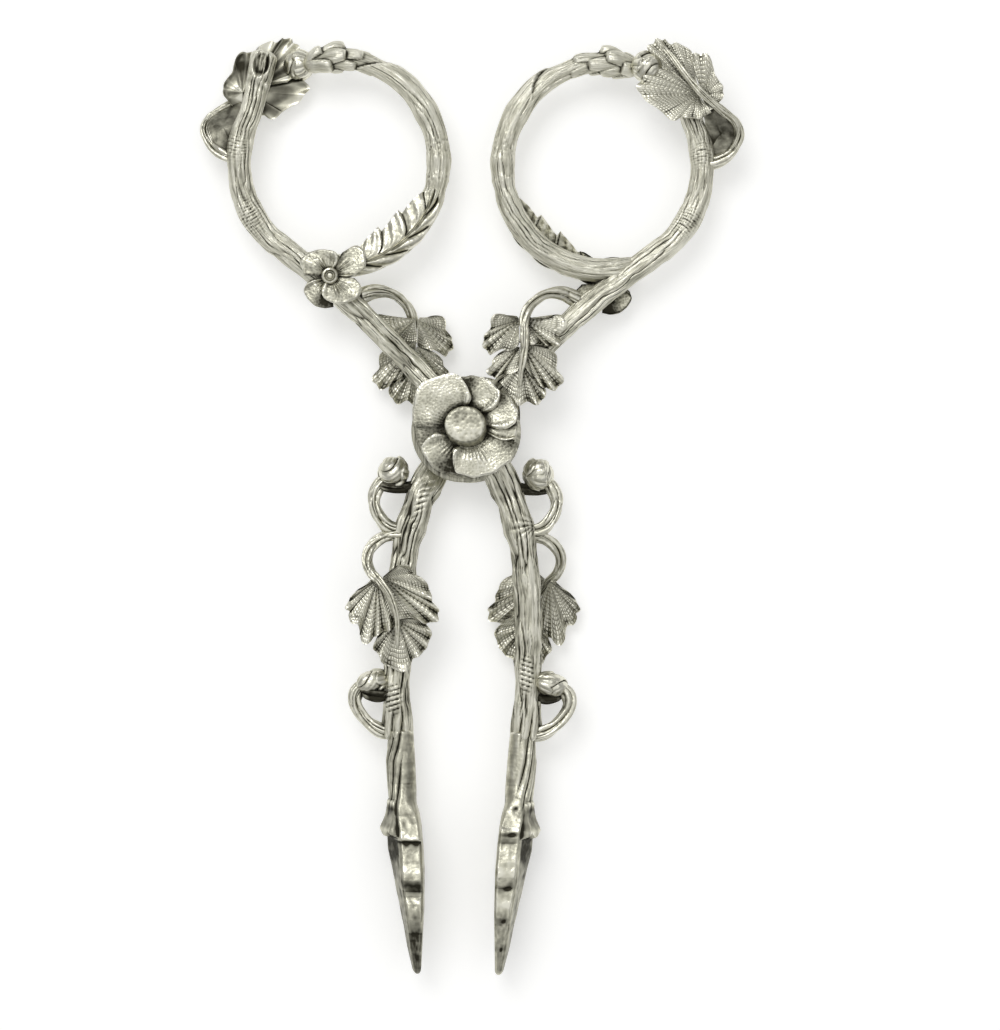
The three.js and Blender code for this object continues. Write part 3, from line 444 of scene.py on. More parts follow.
def round_grain(angle, along, cells, length, seed):
    """Grain on a rod: a number of cells round it, each of some length."""
    return grain(angle / TURN * cells, along / length, seed, cells)


class Route:
    """A smooth line through points, measured in millimetres from its start."""

    def __init__(self, points):
        p = np.array([(*q, 0.0)[:3] for q in points], float)
        p = np.vstack((2 * p[0] - p[1], p, 2 * p[-1] - p[-2]))
        t = np.linspace(0, 1, 24, endpoint=False)[:, None]
        runs = []
        for a, b, c, d in zip(p, p[1:], p[2:], p[3:]):
            bend = 2 * a - 5 * b + 4 * c - d + t * (3 * (b - c) + d - a)
            runs.append(b + 0.5 * t * (c - a + t * bend))
        self.line = np.vstack((*runs, p[-2:-1]))
        steps = np.linalg.norm(np.diff(self.line, axis=0), axis=1)
        self.distance = np.concatenate(([0.0], np.cumsum(steps)))
        self.length = self.distance[-1]

    def at(self, distance):
        """Places and directions at distances from the start."""
        place = np.stack([np.interp(distance, self.distance, c) for c in self.line.T], 1)
        slopes = np.gradient(self.line, self.distance, axis=0)
        ahead = np.stack([np.interp(distance, self.distance, c) for c in slopes.T], 1)
        return place, ahead / np.linalg.norm(ahead, axis=1)[:, None]


def ring_point(degrees):
    """A place on the middle line of the finger ring, counted from +X."""
    a = np.radians(degrees)
    x = RING_CENTRE[0] + RING_RADII[0] * np.cos(a)
    y = RING_CENTRE[1] + RING_RADII[1] * np.sin(a)
    return x, y


def shoot_point(length):
    """A place on the cut shoot, at a distance from where it leaves the ring."""
    x, y = ring_point(SHOOT_AT)
    return x + length * math.sin(SHOOT_LEAN), y + length * math.cos(SHOOT_LEAN)


def neck_point(share):
    """A place on the neck, from 0 at the pivot to 1 at the ring."""
    x, y = ring_point(NECK_AT)
    bow = NECK_BOW * 4 * share * (1 - share) / math.hypot(x, y)
    return x * share + y * bow, y * share - x * bow


def jaw_point(reach):
    """A place on the jaw, at a distance below the pivot."""
    share = reach / JAW_REACH
    turn = 1 - (1 - share) ** JAW_CURL
    return JAW_SPREAD * turn + JAW_BELLY * math.sin(math.pi * share), -reach


# Meshes


def new_bmesh():
    """An empty bmesh with a UV map and a layer for the patina and the painted light and shade."""
    bm = bmesh.new()
    bm.loops.layers.uv.new("UVMap")
    bm.verts.layers.float.new("patina_and_painted_light")
    return bm


def set_patina_and_painted_light(bm, values):
    """Marks how dark the silver is painted, up to 1, or below 0 where it is painted bright: patina
    and wear, and also painted shade and painted highlights.
    """
    layer = bm.verts.layers.float["patina_and_painted_light"]
    for v, value in zip(bm.verts, np.broadcast_to(values, len(bm.verts))):
        v[layer] = value


def add_patina_and_painted_light(bm, values):
    """Darkens what has its patina and painted light already."""
    layer = bm.verts.layers.float["patina_and_painted_light"]
    for v, value in zip(bm.verts, values):
        v[layer] += value


def new_grid(columns, rows):
    """A flat grid with a UV map, whose corners are at 0, 0 and 1, 1."""
    bm = new_bmesh()
    shift = Matrix.Translation((0.5, 0.5, 0))
    bmesh.ops.create_grid(
        bm, x_segments=columns, y_segments=rows, size=0.5, matrix=shift, calc_uvs=True
    )
    return bm


def points_of(bm):
    return np.array([v.co for v in bm.verts], float)


def move_points(bm, points):
    for v, p in zip(bm.verts, points):
        v.co = p


def spread_uv(bm, width, height):
    """Scales the UV map to millimetres."""
    layer = bm.loops.layers.uv.active
    for face in bm.faces:
        for loop in face.loops:
            loop[layer].uv = (loop[layer].uv.x * width, loop[layer].uv.y * height)


def close_up(bm):
    """Merges the seam, closes the ends and turns the faces outwards."""
    bmesh.ops.remove_doubles(bm, verts=bm.verts, dist=SEAM)
    bmesh.ops.holes_fill(bm, edges=[e for e in bm.edges if e.is_boundary], sides=0)
    bmesh.ops.recalc_face_normals(bm, faces=bm.faces)
    return bm


def rod(route, sides, spacing, skin):
    """A closed skin along a route. skin takes spots: the distance along, the angle round, the
    places, and how far each one faces the inside of a bend. It gives how far the surface lies
    across and above the line, and its patina and painted light and shade."""
    rows = max(12, round(route.length / spacing))
    bm = new_grid(sides, rows)
    share = points_of(bm)
    along, angle = share[:, 1] * route.length, share[:, 0] * TURN
    place, ahead = route.at(along)
    across = np.cross(UP, ahead)
    across /= np.linalg.norm(across, axis=1)[:, None]
    over = np.cross(ahead, across)
    _, further = route.at(np.minimum(along + 0.8, route.length))
    bend = np.clip(2.5 * ((further - ahead) * across).sum(1), -1, 1)
    out, rise, patina_and_painted_light = skin(Spot(along, angle, place, bend * np.cos(angle)))
    move_points(bm, place + across * out[:, None] + over * rise[:, None])
    set_patina_and_painted_light(bm, patina_and_painted_light)
    spread_uv(bm, TURN * float(np.abs(out).max()), route.length)
    return close_up(bm)


def rounded_ends(along, length, start, finish):
    """Shrinks a rod to a point over a length at each end."""
    s = np.clip(along / start, 0, 1) if start else 1.0
    f = np.clip((length - along) / finish, 0, 1) if finish else 1.0
    return np.sqrt(np.clip(1 - (1 - s) ** 2, 0, 1) * np.clip(1 - (1 - f) ** 2, 0, 1))


def join(*parts):
    """One bmesh of several, which are used up."""
    whole = bmesh.new()
    for part in parts:
        mesh = bpy.data.meshes.new("part")
        part.to_mesh(mesh)
        part.free()
        whole.from_mesh(mesh)
        bpy.data.meshes.remove(mesh)
    return whole


def thicken(bm, thickness, side):
    """Gives a sheet its wall, behind the face that points to that side along Z."""
    geom = [*bm.verts, *bm.edges, *bm.faces]
    wall = bmesh.ops.extrude_face_region(bm, geom=geom, use_keep_orig=True)
    behind = [v for v in wall["geom"] if isinstance(v, bmesh.types.BMVert)]
    bmesh.ops.translate(bm, verts=behind, vec=(0, 0, -side * thickness))
    bmesh.ops.recalc_face_normals(bm, faces=bm.faces)
    return bm


def turned(profile, steps):
    """A solid of revolution about Z from a profile of radius and height."""
    bm = new_bmesh()
    line = [bm.verts.new((r, 0, h)) for r, h in profile]
    edges = [bm.edges.new(pair) for pair in zip(line, line[1:])]
    bmesh.ops.subdivide_edges(bm, edges=edges, cuts=3)
    geom = [*bm.verts, *bm.edges]
    bmesh.ops.spin(
        bm, geom=geom, cent=(0, 0, 0), axis=(0, 0, 1), angle=TURN, steps=steps, use_merge=True
    )
    return close_up(bm)


def drum(low_radius, high_radius, low, high):
    """A round plate about Z between two heights."""
    bm = new_bmesh()
    bmesh.ops.create_cone(
        bm,
        cap_ends=True,
        segments=96,
        radius1=low_radius,
        radius2=high_radius,
        depth=high - low,
        matrix=Matrix.Translation((0, 0, (low + high) / 2)),
        calc_uvs=True,
    )
    return bm


def round_rims(bm, radius):
    """Rounds the sharp edges."""
    rims = [e for e in bm.edges if len(e.link_faces) == 2 and e.calc_face_angle() > 1.0]
    bmesh.ops.bevel(
        bm,
        geom=rims,
        offset=radius,
        offset_type="OFFSET",
        affect="EDGES",
        segments=3,
        profile=0.5,
        material=-1,
    )


def mark_recesses(mesh):
    """Stores on each point how far it lies below its surroundings, for the patina: 1 in a hollow,
    less than 0 on a ridge."""
    count = len(mesh.vertices)
    place, normal = np.empty(count * 3, np.float32), np.empty(count * 3, np.float32)
    mesh.vertices.foreach_get("co", place)
    mesh.vertices.foreach_get("normal", normal)
    place, normal = (v.reshape(-1, 3).astype(float) for v in (place, normal))
    ends = np.empty(len(mesh.edges) * 2, np.int32)
    mesh.edges.foreach_get("vertices", ends)
    a, b = ends.reshape(-1, 2).T
    neighbours = np.maximum(np.bincount(np.concatenate((a, b)), minlength=count), 1)
    level, hollow, ridge = place, np.zeros(count), np.zeros(count)
    # The surroundings are smoothed by rounds of averaging, and a full hollow is this deep there.
    for rounds, depth in ((2, 0.05), (6, 0.13), (14, 0.3)):
        for _ in range(rounds):
            total = [
                np.bincount(a, axis[b], count) + np.bincount(b, axis[a], count) for axis in level.T
            ]
            level = np.stack(total, 1) / neighbours[:, None]
        below = ((level - place) * normal).sum(1) / (depth * MM)
        hollow, ridge = np.maximum(hollow, below), np.minimum(ridge, below)
    recess = np.clip(hollow, 0, 1) + 0.35 * np.clip(ridge, -1, 0)
    layer = mesh.attributes.new("recess", "FLOAT", "POINT")
    layer.data.foreach_set("value", recess.astype(np.float32))


def finish_piece(bm, name, finish, body, node):
    """A finished object from a bmesh in millimetres, in place of a CAD node."""
    bmesh.ops.scale(bm, verts=bm.verts, vec=(MM, MM, MM))
    mesh = bpy.data.meshes.new(name)
    bm.to_mesh(mesh)
    bm.free()
    mesh.shade_smooth()
    mesh.set_sharp_from_angle(angle=SHARP_EDGE)
    mark_recesses(mesh)
    mesh.materials.append(finish)
    obj = bpy.data.objects.new(name, mesh)
    bpy.context.scene.collection.objects.link(obj)
    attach(obj, body)
    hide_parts(node)


def on_both_arms(bm, node, finish):
    """Puts a shape on the front arm and, turned half round, on the rear arm."""
    for arm, turn in ARMS.items():
        piece = bm.copy()
        half_round = Matrix.Rotation(turn, 3, "Y")
        bmesh.ops.rotate(piece, verts=piece.verts, cent=(0, 0, 0), matrix=half_round)
        bmesh.ops.translate(piece, verts=piece.verts, vec=(0, 0, ARM_HEIGHT))
        name, body = f"{arm}_{node}_silver", f"{arm}_arm"
        finish_piece(piece, name, finish, body, f"{arm}_{node}")
    bm.free()


# Finishes


def add(tree, kind, inputs=(), **settings):
    """Adds a node with its settings; an input is a value or the socket that feeds it."""
    node = tree.nodes.new(kind)
    for name, value in settings.items():
        setattr(node, name, value)
    for key, value in dict(inputs).items():
        if isinstance(value, bpy.types.NodeSocket):
            tree.links.new(value, node.inputs[key])
        else:
            node.inputs[key].default_value = value
    return node


def remap(tree, value, low, high, first=0.0, last=1.0):
    """A value moved from one range to another, and kept within it."""
    ends = {0: value, 1: low, 2: high, 3: first, 4: last}
    return add(tree, "ShaderNodeMapRange", ends).outputs[0]


def combine(tree, operation, first, second):
    """Two values in one sum, product or the like."""
    return add(tree, "ShaderNodeMath", {0: first, 1: second}, operation=operation).outputs[0]


def clouds(tree, width, detail):
    """Soft random spots, some millimetres wide."""
    place = add(tree, "ShaderNodeTexCoord").outputs["Object"]
    spots = {"Vector": place, "Scale": 1 / (width * MM), "Detail": detail}
    return add(tree, "ShaderNodeTexNoise", spots).outputs["Fac"]


def dots(tree, apart, feature):
    """Round dots, some millimetres apart: the distance from their middles."""
    place = add(tree, "ShaderNodeTexCoord").outputs["Object"]
    cells = {"Vector": place, "Scale": 1 / (apart * MM)}
    return add(tree, "ShaderNodeTexVoronoi", cells, feature=feature).outputs["Distance"]


def oxidised_silver(name, settings, texture):
    """Cast silver, chased, darkened with sulphide and rubbed back: pale warm metal on the high
    points, dark and dull in the hollows. Painted light and shade go into its colour too: the
    painted shade and highlights stored on the points along with the patina, and ambient
    occlusion, which paints shade as well as patina where parts come close. texture makes the
    chasing: it takes the tree and gives the socket of its height from 0 to 1, its depth in
    metres, and how far its low parts are darkened."""
    silver = settings.silver
    made = bpy.data.materials.new(name)
    made.use_nodes = True
    tree = made.node_tree
    recess = add(tree, "ShaderNodeAttribute", attribute_name="recess").outputs["Fac"]
    patina_and_painted_light = add(tree, "ShaderNodeAttribute", attribute_name="patina_and_painted_light").outputs["Fac"]
    # Ambient occlusion darkens the colour where parts come close: patina, and painted shade.
    near = {"Distance": OCCLUSION_REACH * MM}
    occlusion = add(tree, "ShaderNodeAmbientOcclusion", near, samples=8).outputs["AO"]
    height, depth, darkening = texture(tree)
    patina_and_shade_between_parts = remap(tree, occlusion, 0.25, 0.8, 0.75, 0.0)
    cloudy = remap(tree, clouds(tree, CLOUD_WIDTH, 4), 0.3, 0.72, -0.1, 0.22)
    low = remap(tree, height, 0.0, 1.0, darkening, -0.5 * darkening)
    dark = recess
    for part in (patina_and_painted_light, patina_and_shade_between_parts, cloudy, low):
        dark = combine(tree, "ADD", dark, part)
    tarnish_and_painted_light = remap(tree, dark, -0.08, 1.0)
    # From worn silver through silver to patina: the painted highlights take the worn colour and the
    # painted shade the patina's.
    ramp = add(tree, "ShaderNodeValToRGB", {0: tarnish_and_painted_light})
    stops = ramp.color_ramp.elements
    stops[0].color = silver.worn
    stops[1].color = silver.patina
    stops.new(0.25).color = silver.silver
    gloss = remap(tree, tarnish_and_painted_light, 0.0, 1.0, silver.gloss, silver.patina_gloss)
    fine = clouds(tree, MOULD_GRAIN, 2)
    cast = {"Height": fine, "Distance": MOULD_DEPTH * MM, "Strength": 0.7}
    chased = {"Height": height, "Distance": depth}
    chased["Normal"] = add(tree, "ShaderNodeBump", cast).outputs[0]
    shader = tree.nodes["Principled BSDF"]
    tree.links.new(ramp.outputs[0], shader.inputs["Base Color"])
    tree.links.new(gloss, shader.inputs["Roughness"])
    tree.links.new(add(tree, "ShaderNodeBump", chased).outputs[0], shader.inputs["Normal"])
    shader.inputs["Metallic"].default_value = 1.0
    return made


def bark_finish(settings, name="cast silver bark", darkening=0.5):
    """Bark: streaks along the branch, from 0.55 mm wide down to fine lines."""

    def streaks(tree):
        uv = add(tree, "ShaderNodeTexCoord").outputs["UV"]
        drawn = {"Vector": uv, "Scale": (1 / 0.55, 1 / 6.0, 1)}
        mapped = add(tree, "ShaderNodeMapping", drawn).outputs[0]
        spots = {"Vector": mapped, "Scale": 1.0, "Detail": 4, "Roughness": 0.65}
        lines = add(tree, "ShaderNodeTexNoise", spots).outputs["Fac"]
        return remap(tree, lines, 0.36, 0.62), 0.07 * MM, darkening

    return oxidised_silver(name, settings, streaks)


def leaf_finish(settings):
    """Leaf: a net of thin chased lines, along the lobes and across them, with pale cushions
    between."""

    def net(tree):
        uv = add(tree, "ShaderNodeTexCoord").outputs["UV"]
        spots = {"Vector": uv, "Scale": 0.7, "Detail": 1}
        wander = add(tree, "ShaderNodeTexNoise", spots).outputs["Color"]
        shift = {0: wander, 1: (0.5, 0.5, 0.5), 2: uv}
        moved = add(tree, "ShaderNodeVectorMath", shift, operation="MULTIPLY_ADD").outputs[0]
        waves = {"Vector": moved, "Scale": WAVE_PERIOD * MM / settings.relief.hatch}
        cushion = 1.0
        for way in "XY":
            wave = add(tree, "ShaderNodeTexWave", waves, bands_direction=way).outputs["Fac"]
            cushion = combine(tree, "MINIMUM", cushion, remap(tree, wave, 0.0, 0.6))
        return cushion, 0.035 * MM, 0.6

    return oxidised_silver("chased silver leaf", settings, net)


def petal_finish(settings):
    """Petal: stippled with a small round punch, dots about a third of a millimetre apart."""

    def stipple(tree):
        return dots(tree, 0.34, "F1"), 0.06 * MM, 0.34

    return oxidised_silver("stippled silver petal", settings, stipple)


def smooth_finish(settings, name="smooth cast silver", width=1.1, depth=0.09):
    """Buds, tendrils and grips: smooth cast silver with shallow dents."""

    def dents(tree):
        return remap(tree, clouds(tree, width, 2), 0.3, 0.7), depth * MM, 0.2

    return oxidised_silver(name, settings, dents)


def hammered_finish(settings):
    """Rivet head: small flats and pits about 0.4 mm across, left by the hammer."""

    def flats(tree):
        return dots(tree, 0.42, "SMOOTH_F1"), 0.08 * MM, 0.5

    return oxidised_silver("hammered silver rivet", settings, flats)


# Shapes of one arm


def bark(along, angle, settings, seed, radius=1.65, twist=0.0):
    """Height of bark, from -1 in the deepest groove to a little over 0: wandering strands that
    part and meet, with flats and dents."""
    strands = max(6, round(TURN * radius * MM / settings.relief.bark_strand))
    wander = 0.024 * round_grain(angle, along, 4, 3.0, seed)
    wander += 0.012 * round_grain(angle, along, 12, 1.2, seed + 1)
    around = angle + twist * along + wander * TURN
    broad = np.abs(round_grain(around, along, strands, 8.0, seed + 2))
    broad = np.minimum(2.2 * broad, 1) ** 0.7
    narrow = np.abs(round_grain(around, along, 2 * strands, 4.5, seed + 3)) ** 0.6
    flats = round_grain(around, along, 7, 2.4, seed + 4)
    flats += 0.6 * round_grain(around, along, 14, 1.0, seed + 5)
    return np.clip(0.62 * broad + 0.2 * narrow + 0.15 + 0.24 * flats, 0, 1.25) - 1


def bough_marks(along, angle, x, y, half):
    """Height of the marks chased on the bough, and the share of the bark that they leave."""
    left, right = x < 0, x > 0
    # Knots: flatter patches with fine cross ridges, and in front of the jaw's tendrils ridges that
    # fan out.
    facing = swell(angle, 0.3 * TURN, 1.1) + swell(angle, 0.76 * TURN, 0.9)
    patches = swells(y, RING_KNOTS) * left * facing
    marks = 0.06 * np.cos(TURN * along / 0.45 + 2 * np.sin(3 * angle)) * patches
    knot = swell(y, -13.2, 1.9) * right * swell(angle, 0.2 * TURN, 1.0)
    fan = np.arctan2(y + 13.3, x + half * np.cos(angle) - 9.8)
    marks += 0.07 * np.cos(17 * fan) * knot
    patches += knot
    marks += 0.05 * round_grain(angle, along, 26, 0.4, 8) * patches
    # A braid of slanting ridges on the back below the pivot.
    braid = swell(angle, 0.72 * TURN, 0.36) * swell(y, -10.0, 2.6) * right
    slant = (y + 1.6 * np.cos(angle)) / 0.9
    marks += 0.2 * (np.abs(np.cos(math.pi * slant)) - 0.4) * braid
    # Ladders of cross ridges, two thirds of a millimetre apart, where leaf stalks have broken away.
    front = swell(angle, 0.28 * TURN, 0.55) * swell(y, -33.2, 2.3)
    back = swell(angle, 0.8 * TURN, 0.65) * swell(y, -36.6, 1.8)
    scar = np.clip(2.2 * (front + back) - 0.3, 0, 1) * right
    rung = (y + 0.3 * half * np.cos(angle)) / 0.66
    marks += (0.16 + 0.24 * (np.abs(np.cos(math.pi * rung)) ** 0.7 - 1)) * scar
    return marks, (1 - scar) * (1 - 0.6 * patches) * (1 - 0.7 * braid)


def flatten_lap(bm):
    """Makes a bough flat against the other arm below, and under the blossom above."""
    at = points_of(bm)
    near = np.hypot(at[:, 0], at[:, 1])
    height = at[:, 2]
    height = np.where(near < BOSS_RADIUS + 0.6, np.maximum(height, LAP_FROM), height)
    at[:, 2] = np.where(near < BLOSSOM_RADIUS + 0.4, np.minimum(height, BOSS_TOP), height)
    move_points(bm, at)


def cut_shoot(bm):
    """Cuts the front of the shoot's end: a shallow oval with a rolled rim, and a lip below it."""
    at = points_of(bm)
    lean = np.array((math.sin(SHOOT_LEAN), math.cos(SHOOT_LEAN)))
    offset = at[:, :2] - np.array(shoot_point(SHOOT_LENGTH - 2.0))
    lengthwise = offset @ lean
    crosswise = offset @ np.array((lean[1], -lean[0]))
    oval = np.hypot(lengthwise / 1.75, crosswise / 1.15)
    lip = swell(lengthwise + 0.25 * crosswise, -2.4, 0.4)
    front = ease(at[:, 2], 0.0, 0.6)
    inside = front * (1 - ease(oval, 0.65, 1.05))
    at[:, 2] += front * (0.26 * swell(oval, 1.12, 0.26) + 0.2 * lip) - 0.35 * inside
    move_points(bm, at)
    add_patina_and_painted_light(bm, 0.4 * inside - 0.2 * front * swell(oval, 1.15, 0.18))


def bough_shape(settings):
    """The main branch of an arm: cut shoot, ring, neck, lap with the pivot boss, and jaw."""
    points = [shoot_point(SHOOT_LENGTH * s) for s in (1, 0.5)]
    points += [ring_point(SHOOT_AT + (NECK_AT - SHOOT_AT) * i / 7) for i in range(8)]
    points += [neck_point(1 - i / 5) for i in range(1, 6)]
    points += [jaw_point(JAW_REACH * i / 8) for i in range(1, 9)]
    route = Route(points)
    groove = settings.relief.bark_groove / MM

    def skin(spot):
        along, angle = spot.along, spot.angle
        x, y, _ = spot.place.T
        left, right = x < 0, x > 0
        from_pivot = np.hypot(x, y)
        lapped = 1 - ease(from_pivot, BOSS_RADIUS, BOSS_RADIUS + LAP_FADE)
        half = 1.66 + 0.3 * ease(-y, -6.5, 6.5) + swells(y, JAW_SWELLINGS) * right
        half += (swells(y, RING_SWELLINGS) + 0.1 * swell(along, 0, 3.6)) * left
        half += 0.1 * grain(np.zeros(len(y)), along / 3.2, 15) * (1 - lapped)
        depth = 1.6 - 0.45 * lapped + 0.12 * swell(y, -38.6, 2.6)
        # The jaw's foot is fluted, and its flutes are of different lengths.
        foot = ease(-y, 37.0, 40.0) * right
        flutes = np.abs(np.cos(4 * angle + 0.5 + 0.25 * y)) ** 0.6 - 1
        fluted = np.clip(along - 0.9 * flutes * foot, 0, route.length)
        ends = rounded_ends(fluted, route.length, 1.0, 0.7)
        # The bark is coarser on the jaw and on the neck.
        coarse = np.maximum(ease(-y, 0, 10), 0.75 * swell(from_pivot, 14.5, 6.5) * left)
        marks, plain = bough_marks(along, angle, x, y, half)
        height = bark(along, angle, settings, seed=3) * plain * (1 - 0.5 * foot)
        relief = groove * (0.85 + 0.65 * coarse) * height + 0.55 * flutes * foot + marks
        patchy = 0.5 * round_grain(angle, along, 6, 4.0, 12)
        patchy += round_grain(angle, along, 17, 1.8, 13)
        patina_and_painted_light = (0.1 + 0.22 * coarse) * patchy + (0.2 + 0.35 * coarse) * ease(-height, 0.5, 0.9)
        # Painted shade down both sides of the coarse bark, where the silver turns away; a little
        # lighter all over.
        patina_and_painted_light += 0.25 * coarse * np.cos(angle) ** 6 - 0.05
        out = (half + relief) * ends * np.cos(angle)
        rise = (depth + relief) * ends * np.sin(angle) + LAP_LIFT * lapped
        return out, rise, patina_and_painted_light

    bm = rod(route, sides=120, spacing=0.18, skin=skin)
    flatten_lap(bm)
    cut_shoot(bm)
    return join(bm, boss_shape())


def boss_shape():
    """The round boss at the pivot, a little wider at the top, where it leans to one side."""
    height = BOSS_TOP - LAP_FROM
    boss = drum(BOSS_RADIUS, BOSS_RADIUS + BOSS_FLARE, LAP_FROM, BOSS_TOP)
    for v in boss.verts:
        v.co += Vector((*BOSS_LEAN, 0)) * ((v.co.z - LAP_FROM) / height)
    spread_uv(boss, TURN * BOSS_RADIUS, height)
    round_rims(boss, 0.3)
    # Painted shade all over the boss, whose side lies in shade under the blossom.
    set_patina_and_painted_light(boss, PAINTED_SHADE)
    return boss


def knuckle_scales(degrees, angle):
    """Height of the curled scales that crowd on the ring branch's knuckle."""
    curls = np.zeros(len(angle))
    for middle, at, length, width, height in KNUCKLE_SCALES:
        apart = np.abs(np.mod(angle / TURN - at + 0.5, 1) - 0.5)
        s = (degrees - middle) / length
        climb = np.clip(np.minimum((1 - s) / 1.5, (1 + s) / 0.3), 0, 1)
        bulge = np.clip(1 - (apart / (width * (0.75 + 0.25 * s))) ** 2, 0, 1)
        curls = np.maximum(curls, height * np.sqrt(bulge) * ease(climb, 0, 1))
    return curls


def ring_branch_shape(settings):
    """The branch that closes the finger ring: a smoother, twisted bark that ends in a scaled
    knuckle."""
    first, last = BRANCH_SPAN
    route = Route([ring_point(first + (last - first) * i / 16) for i in range(17)])
    groove = settings.relief.bark_groove / MM

    def skin(spot):
        along, angle = spot.along, spot.angle
        degrees = first + (last - first) * along / route.length
        half = 1.2 + 0.42 * ease(degrees, 250, 262) - 0.34 * ease(degrees, 405, 432)
        half += swells(degrees, BRANCH_SWELLINGS)
        knuckle = ease(degrees, 434, 444)
        # The bark's end laps over a second strand, along a slanting line.
        coil = np.mod(angle / TURN + (degrees - 400) / 52 + 0.15, 1)
        lapping = 0.3 * (ease(coil, 0.0, 0.6) - 0.62) - 0.08 * swell(coil, 0.02, 0.05)
        lapping *= ease(degrees, 398, 412) * (1 - knuckle)
        height = 0.55 * bark(along, angle, settings, seed=23, radius=1.55, twist=0.05)
        height *= 1 - 0.6 * knuckle
        relief = groove * height + knuckle_scales(degrees, angle) + lapping
        relief += 0.07 * round_grain(angle, along, 26, 0.36, 9) * swells(degrees, BRANCH_KNOTS)
        ends = rounded_ends(along, route.length, 2.0, 1.2)
        out = (half + relief) * ends * np.cos(angle)
        return out, (0.95 * half + relief) * ends * np.sin(angle), 0.0

    return rod(route, sides=96, spacing=0.16, skin=skin)


def lobe(pleats, height, apex, rim, plain_back, settings):
    """A lobe of a leaf on the arm's back: shallow pleats, softer where the leaf's back is plain,
    run from its apex to the rim, which curls up."""
    thickness, groove = settings.relief.leaf_thickness / MM, settings.relief.leaf_groove / MM
    edge = Route(rim)
    depth = 0.4 if plain_back else 1.0
    bm = new_grid(columns=16 * pleats, rows=36)
    side, out, _ = points_of(bm).T
    phase = side * pleats + 0.3 * np.sin(TURN * (1.7 * side + apex[0]))
    fold = 0.5 - 0.5 * np.cos(TURN * phase)
    end, _ = edge.at(side * edge.length)
    middle = np.array((*apex, 0.0))
    reach = (0.02 + 0.98 * out) * (1 + 0.05 * (fold - 0.6) * out)
    at = middle + (end - middle) * reach[:, None]
    tilt = grain(np.floor(phase), np.full(len(phase), 0.5), 31 + pleats)
    curl = depth * ease(out, 0.78, 0.97)
    rise = 0.25 * np.sin(math.pi * out) + height * ease(out, 0.1, 1.0)
    rise += depth * groove * out**0.6 * (fold**0.7 - 1 + 0.5 * tilt)
    rise += 0.16 * grain(phase * 0.7, out * 2.5, 37 + pleats) * out
    rise += (0.55 * fold * (0.8 + 0.5 * tilt) - 0.1) * curl
    at[:, 2] = -(LEAF_SEAT + thickness + rise)
    move_points(bm, at)
    # Darker in the pleats' valleys towards the rim, patina and painted shade, most between the
    # folds of the curled rim, with a painted highlight on their crests; a little lighter all over.
    set_patina_and_painted_light(bm, (0.14 * depth * out + 0.2 * curl) * (1 - fold) - 0.4 * curl * fold - 0.16)
    length = float(np.linalg.norm(end - middle, axis=1).mean())
    spread_uv(bm, 6 * pleats * settings.relief.hatch / MM, length)
    front_points, front_faces = len(bm.verts), len(bm.faces)
    thicken(bm, thickness, -1)
    if plain_back:
        # No net of lines shows on it, and painted shade makes it darker.
        uv = bm.loops.layers.uv.active
        for face in list(bm.faces)[front_faces:]:
            for loop in face.loops:
                loop[uv].uv = loop[uv].uv * 0.06
        add_patina_and_painted_light(bm, np.where(np.arange(len(bm.verts)) < front_points, 0.0, 0.3))
    return bm


def leaf_shape(lobes, plain_back, settings):
    """A vine leaf on the back of an arm, made of overlapping lobes."""
    leaf = join(*[lobe(*table, plain_back, settings) for table in lobes])
    at = points_of(leaf)
    # Room for the other arm's blossom to swing past.
    near = np.maximum(np.hypot(at[:, 0], at[:, 1]), 1e-6)
    at[:, :2] *= np.maximum(SWING_ROOM / near, 1.0)[:, None]
    move_points(leaf, at)
    return leaf


def tendril_shape(points, radius, tip, seed):
    """A tendril of strands that wind about each other; its inner side lies in the shade of the
    casting."""
    route = Route(points)

    def skin(spot):
        along, angle = spot.along, spot.angle
        girth = radius + (tip - radius) * along / route.length
        girth *= 1 + 0.12 * grain(np.zeros(len(along)), along / 2.2, seed + 5)
        rope = np.abs(np.cos(0.5 * TENDRIL_STRANDS * angle - 0.3 * along)) ** 0.7
        lines = np.abs(round_grain(angle, along, 12, 3.0, seed)) ** 0.5
        ends = rounded_ends(along, route.length, 0.0, 0.9)
        half = girth * (1.2 + 0.46 * (rope - 1) + 0.36 * (lines - 1)) * ends
        # Painted shade on the inner side of each bend.
        shade = 0.5 * ease(spot.inside, 0.35, 0.95)
        return half * np.cos(angle), 0.9 * half * np.sin(angle), shade

    return rod(route, sides=72, spacing=0.15, skin=skin)


def web_shape():
    """The thin skin that closes the ring tendril's loop, painted dark as the shade inside it."""
    rim = Route(WEB_RIM)
    bm = new_grid(columns=72, rows=12)
    turn, out, _ = points_of(bm).T
    edge, _ = rim.at(turn * rim.length)
    middle = np.array(WEB_MIDDLE)
    move_points(bm, middle + (edge - middle) * out[:, None])
    bmesh.ops.remove_doubles(bm, verts=bm.verts, dist=SEAM)
    set_patina_and_painted_light(bm, PAINTED_SHADE)
    return thicken(bm, 0.3, -1)


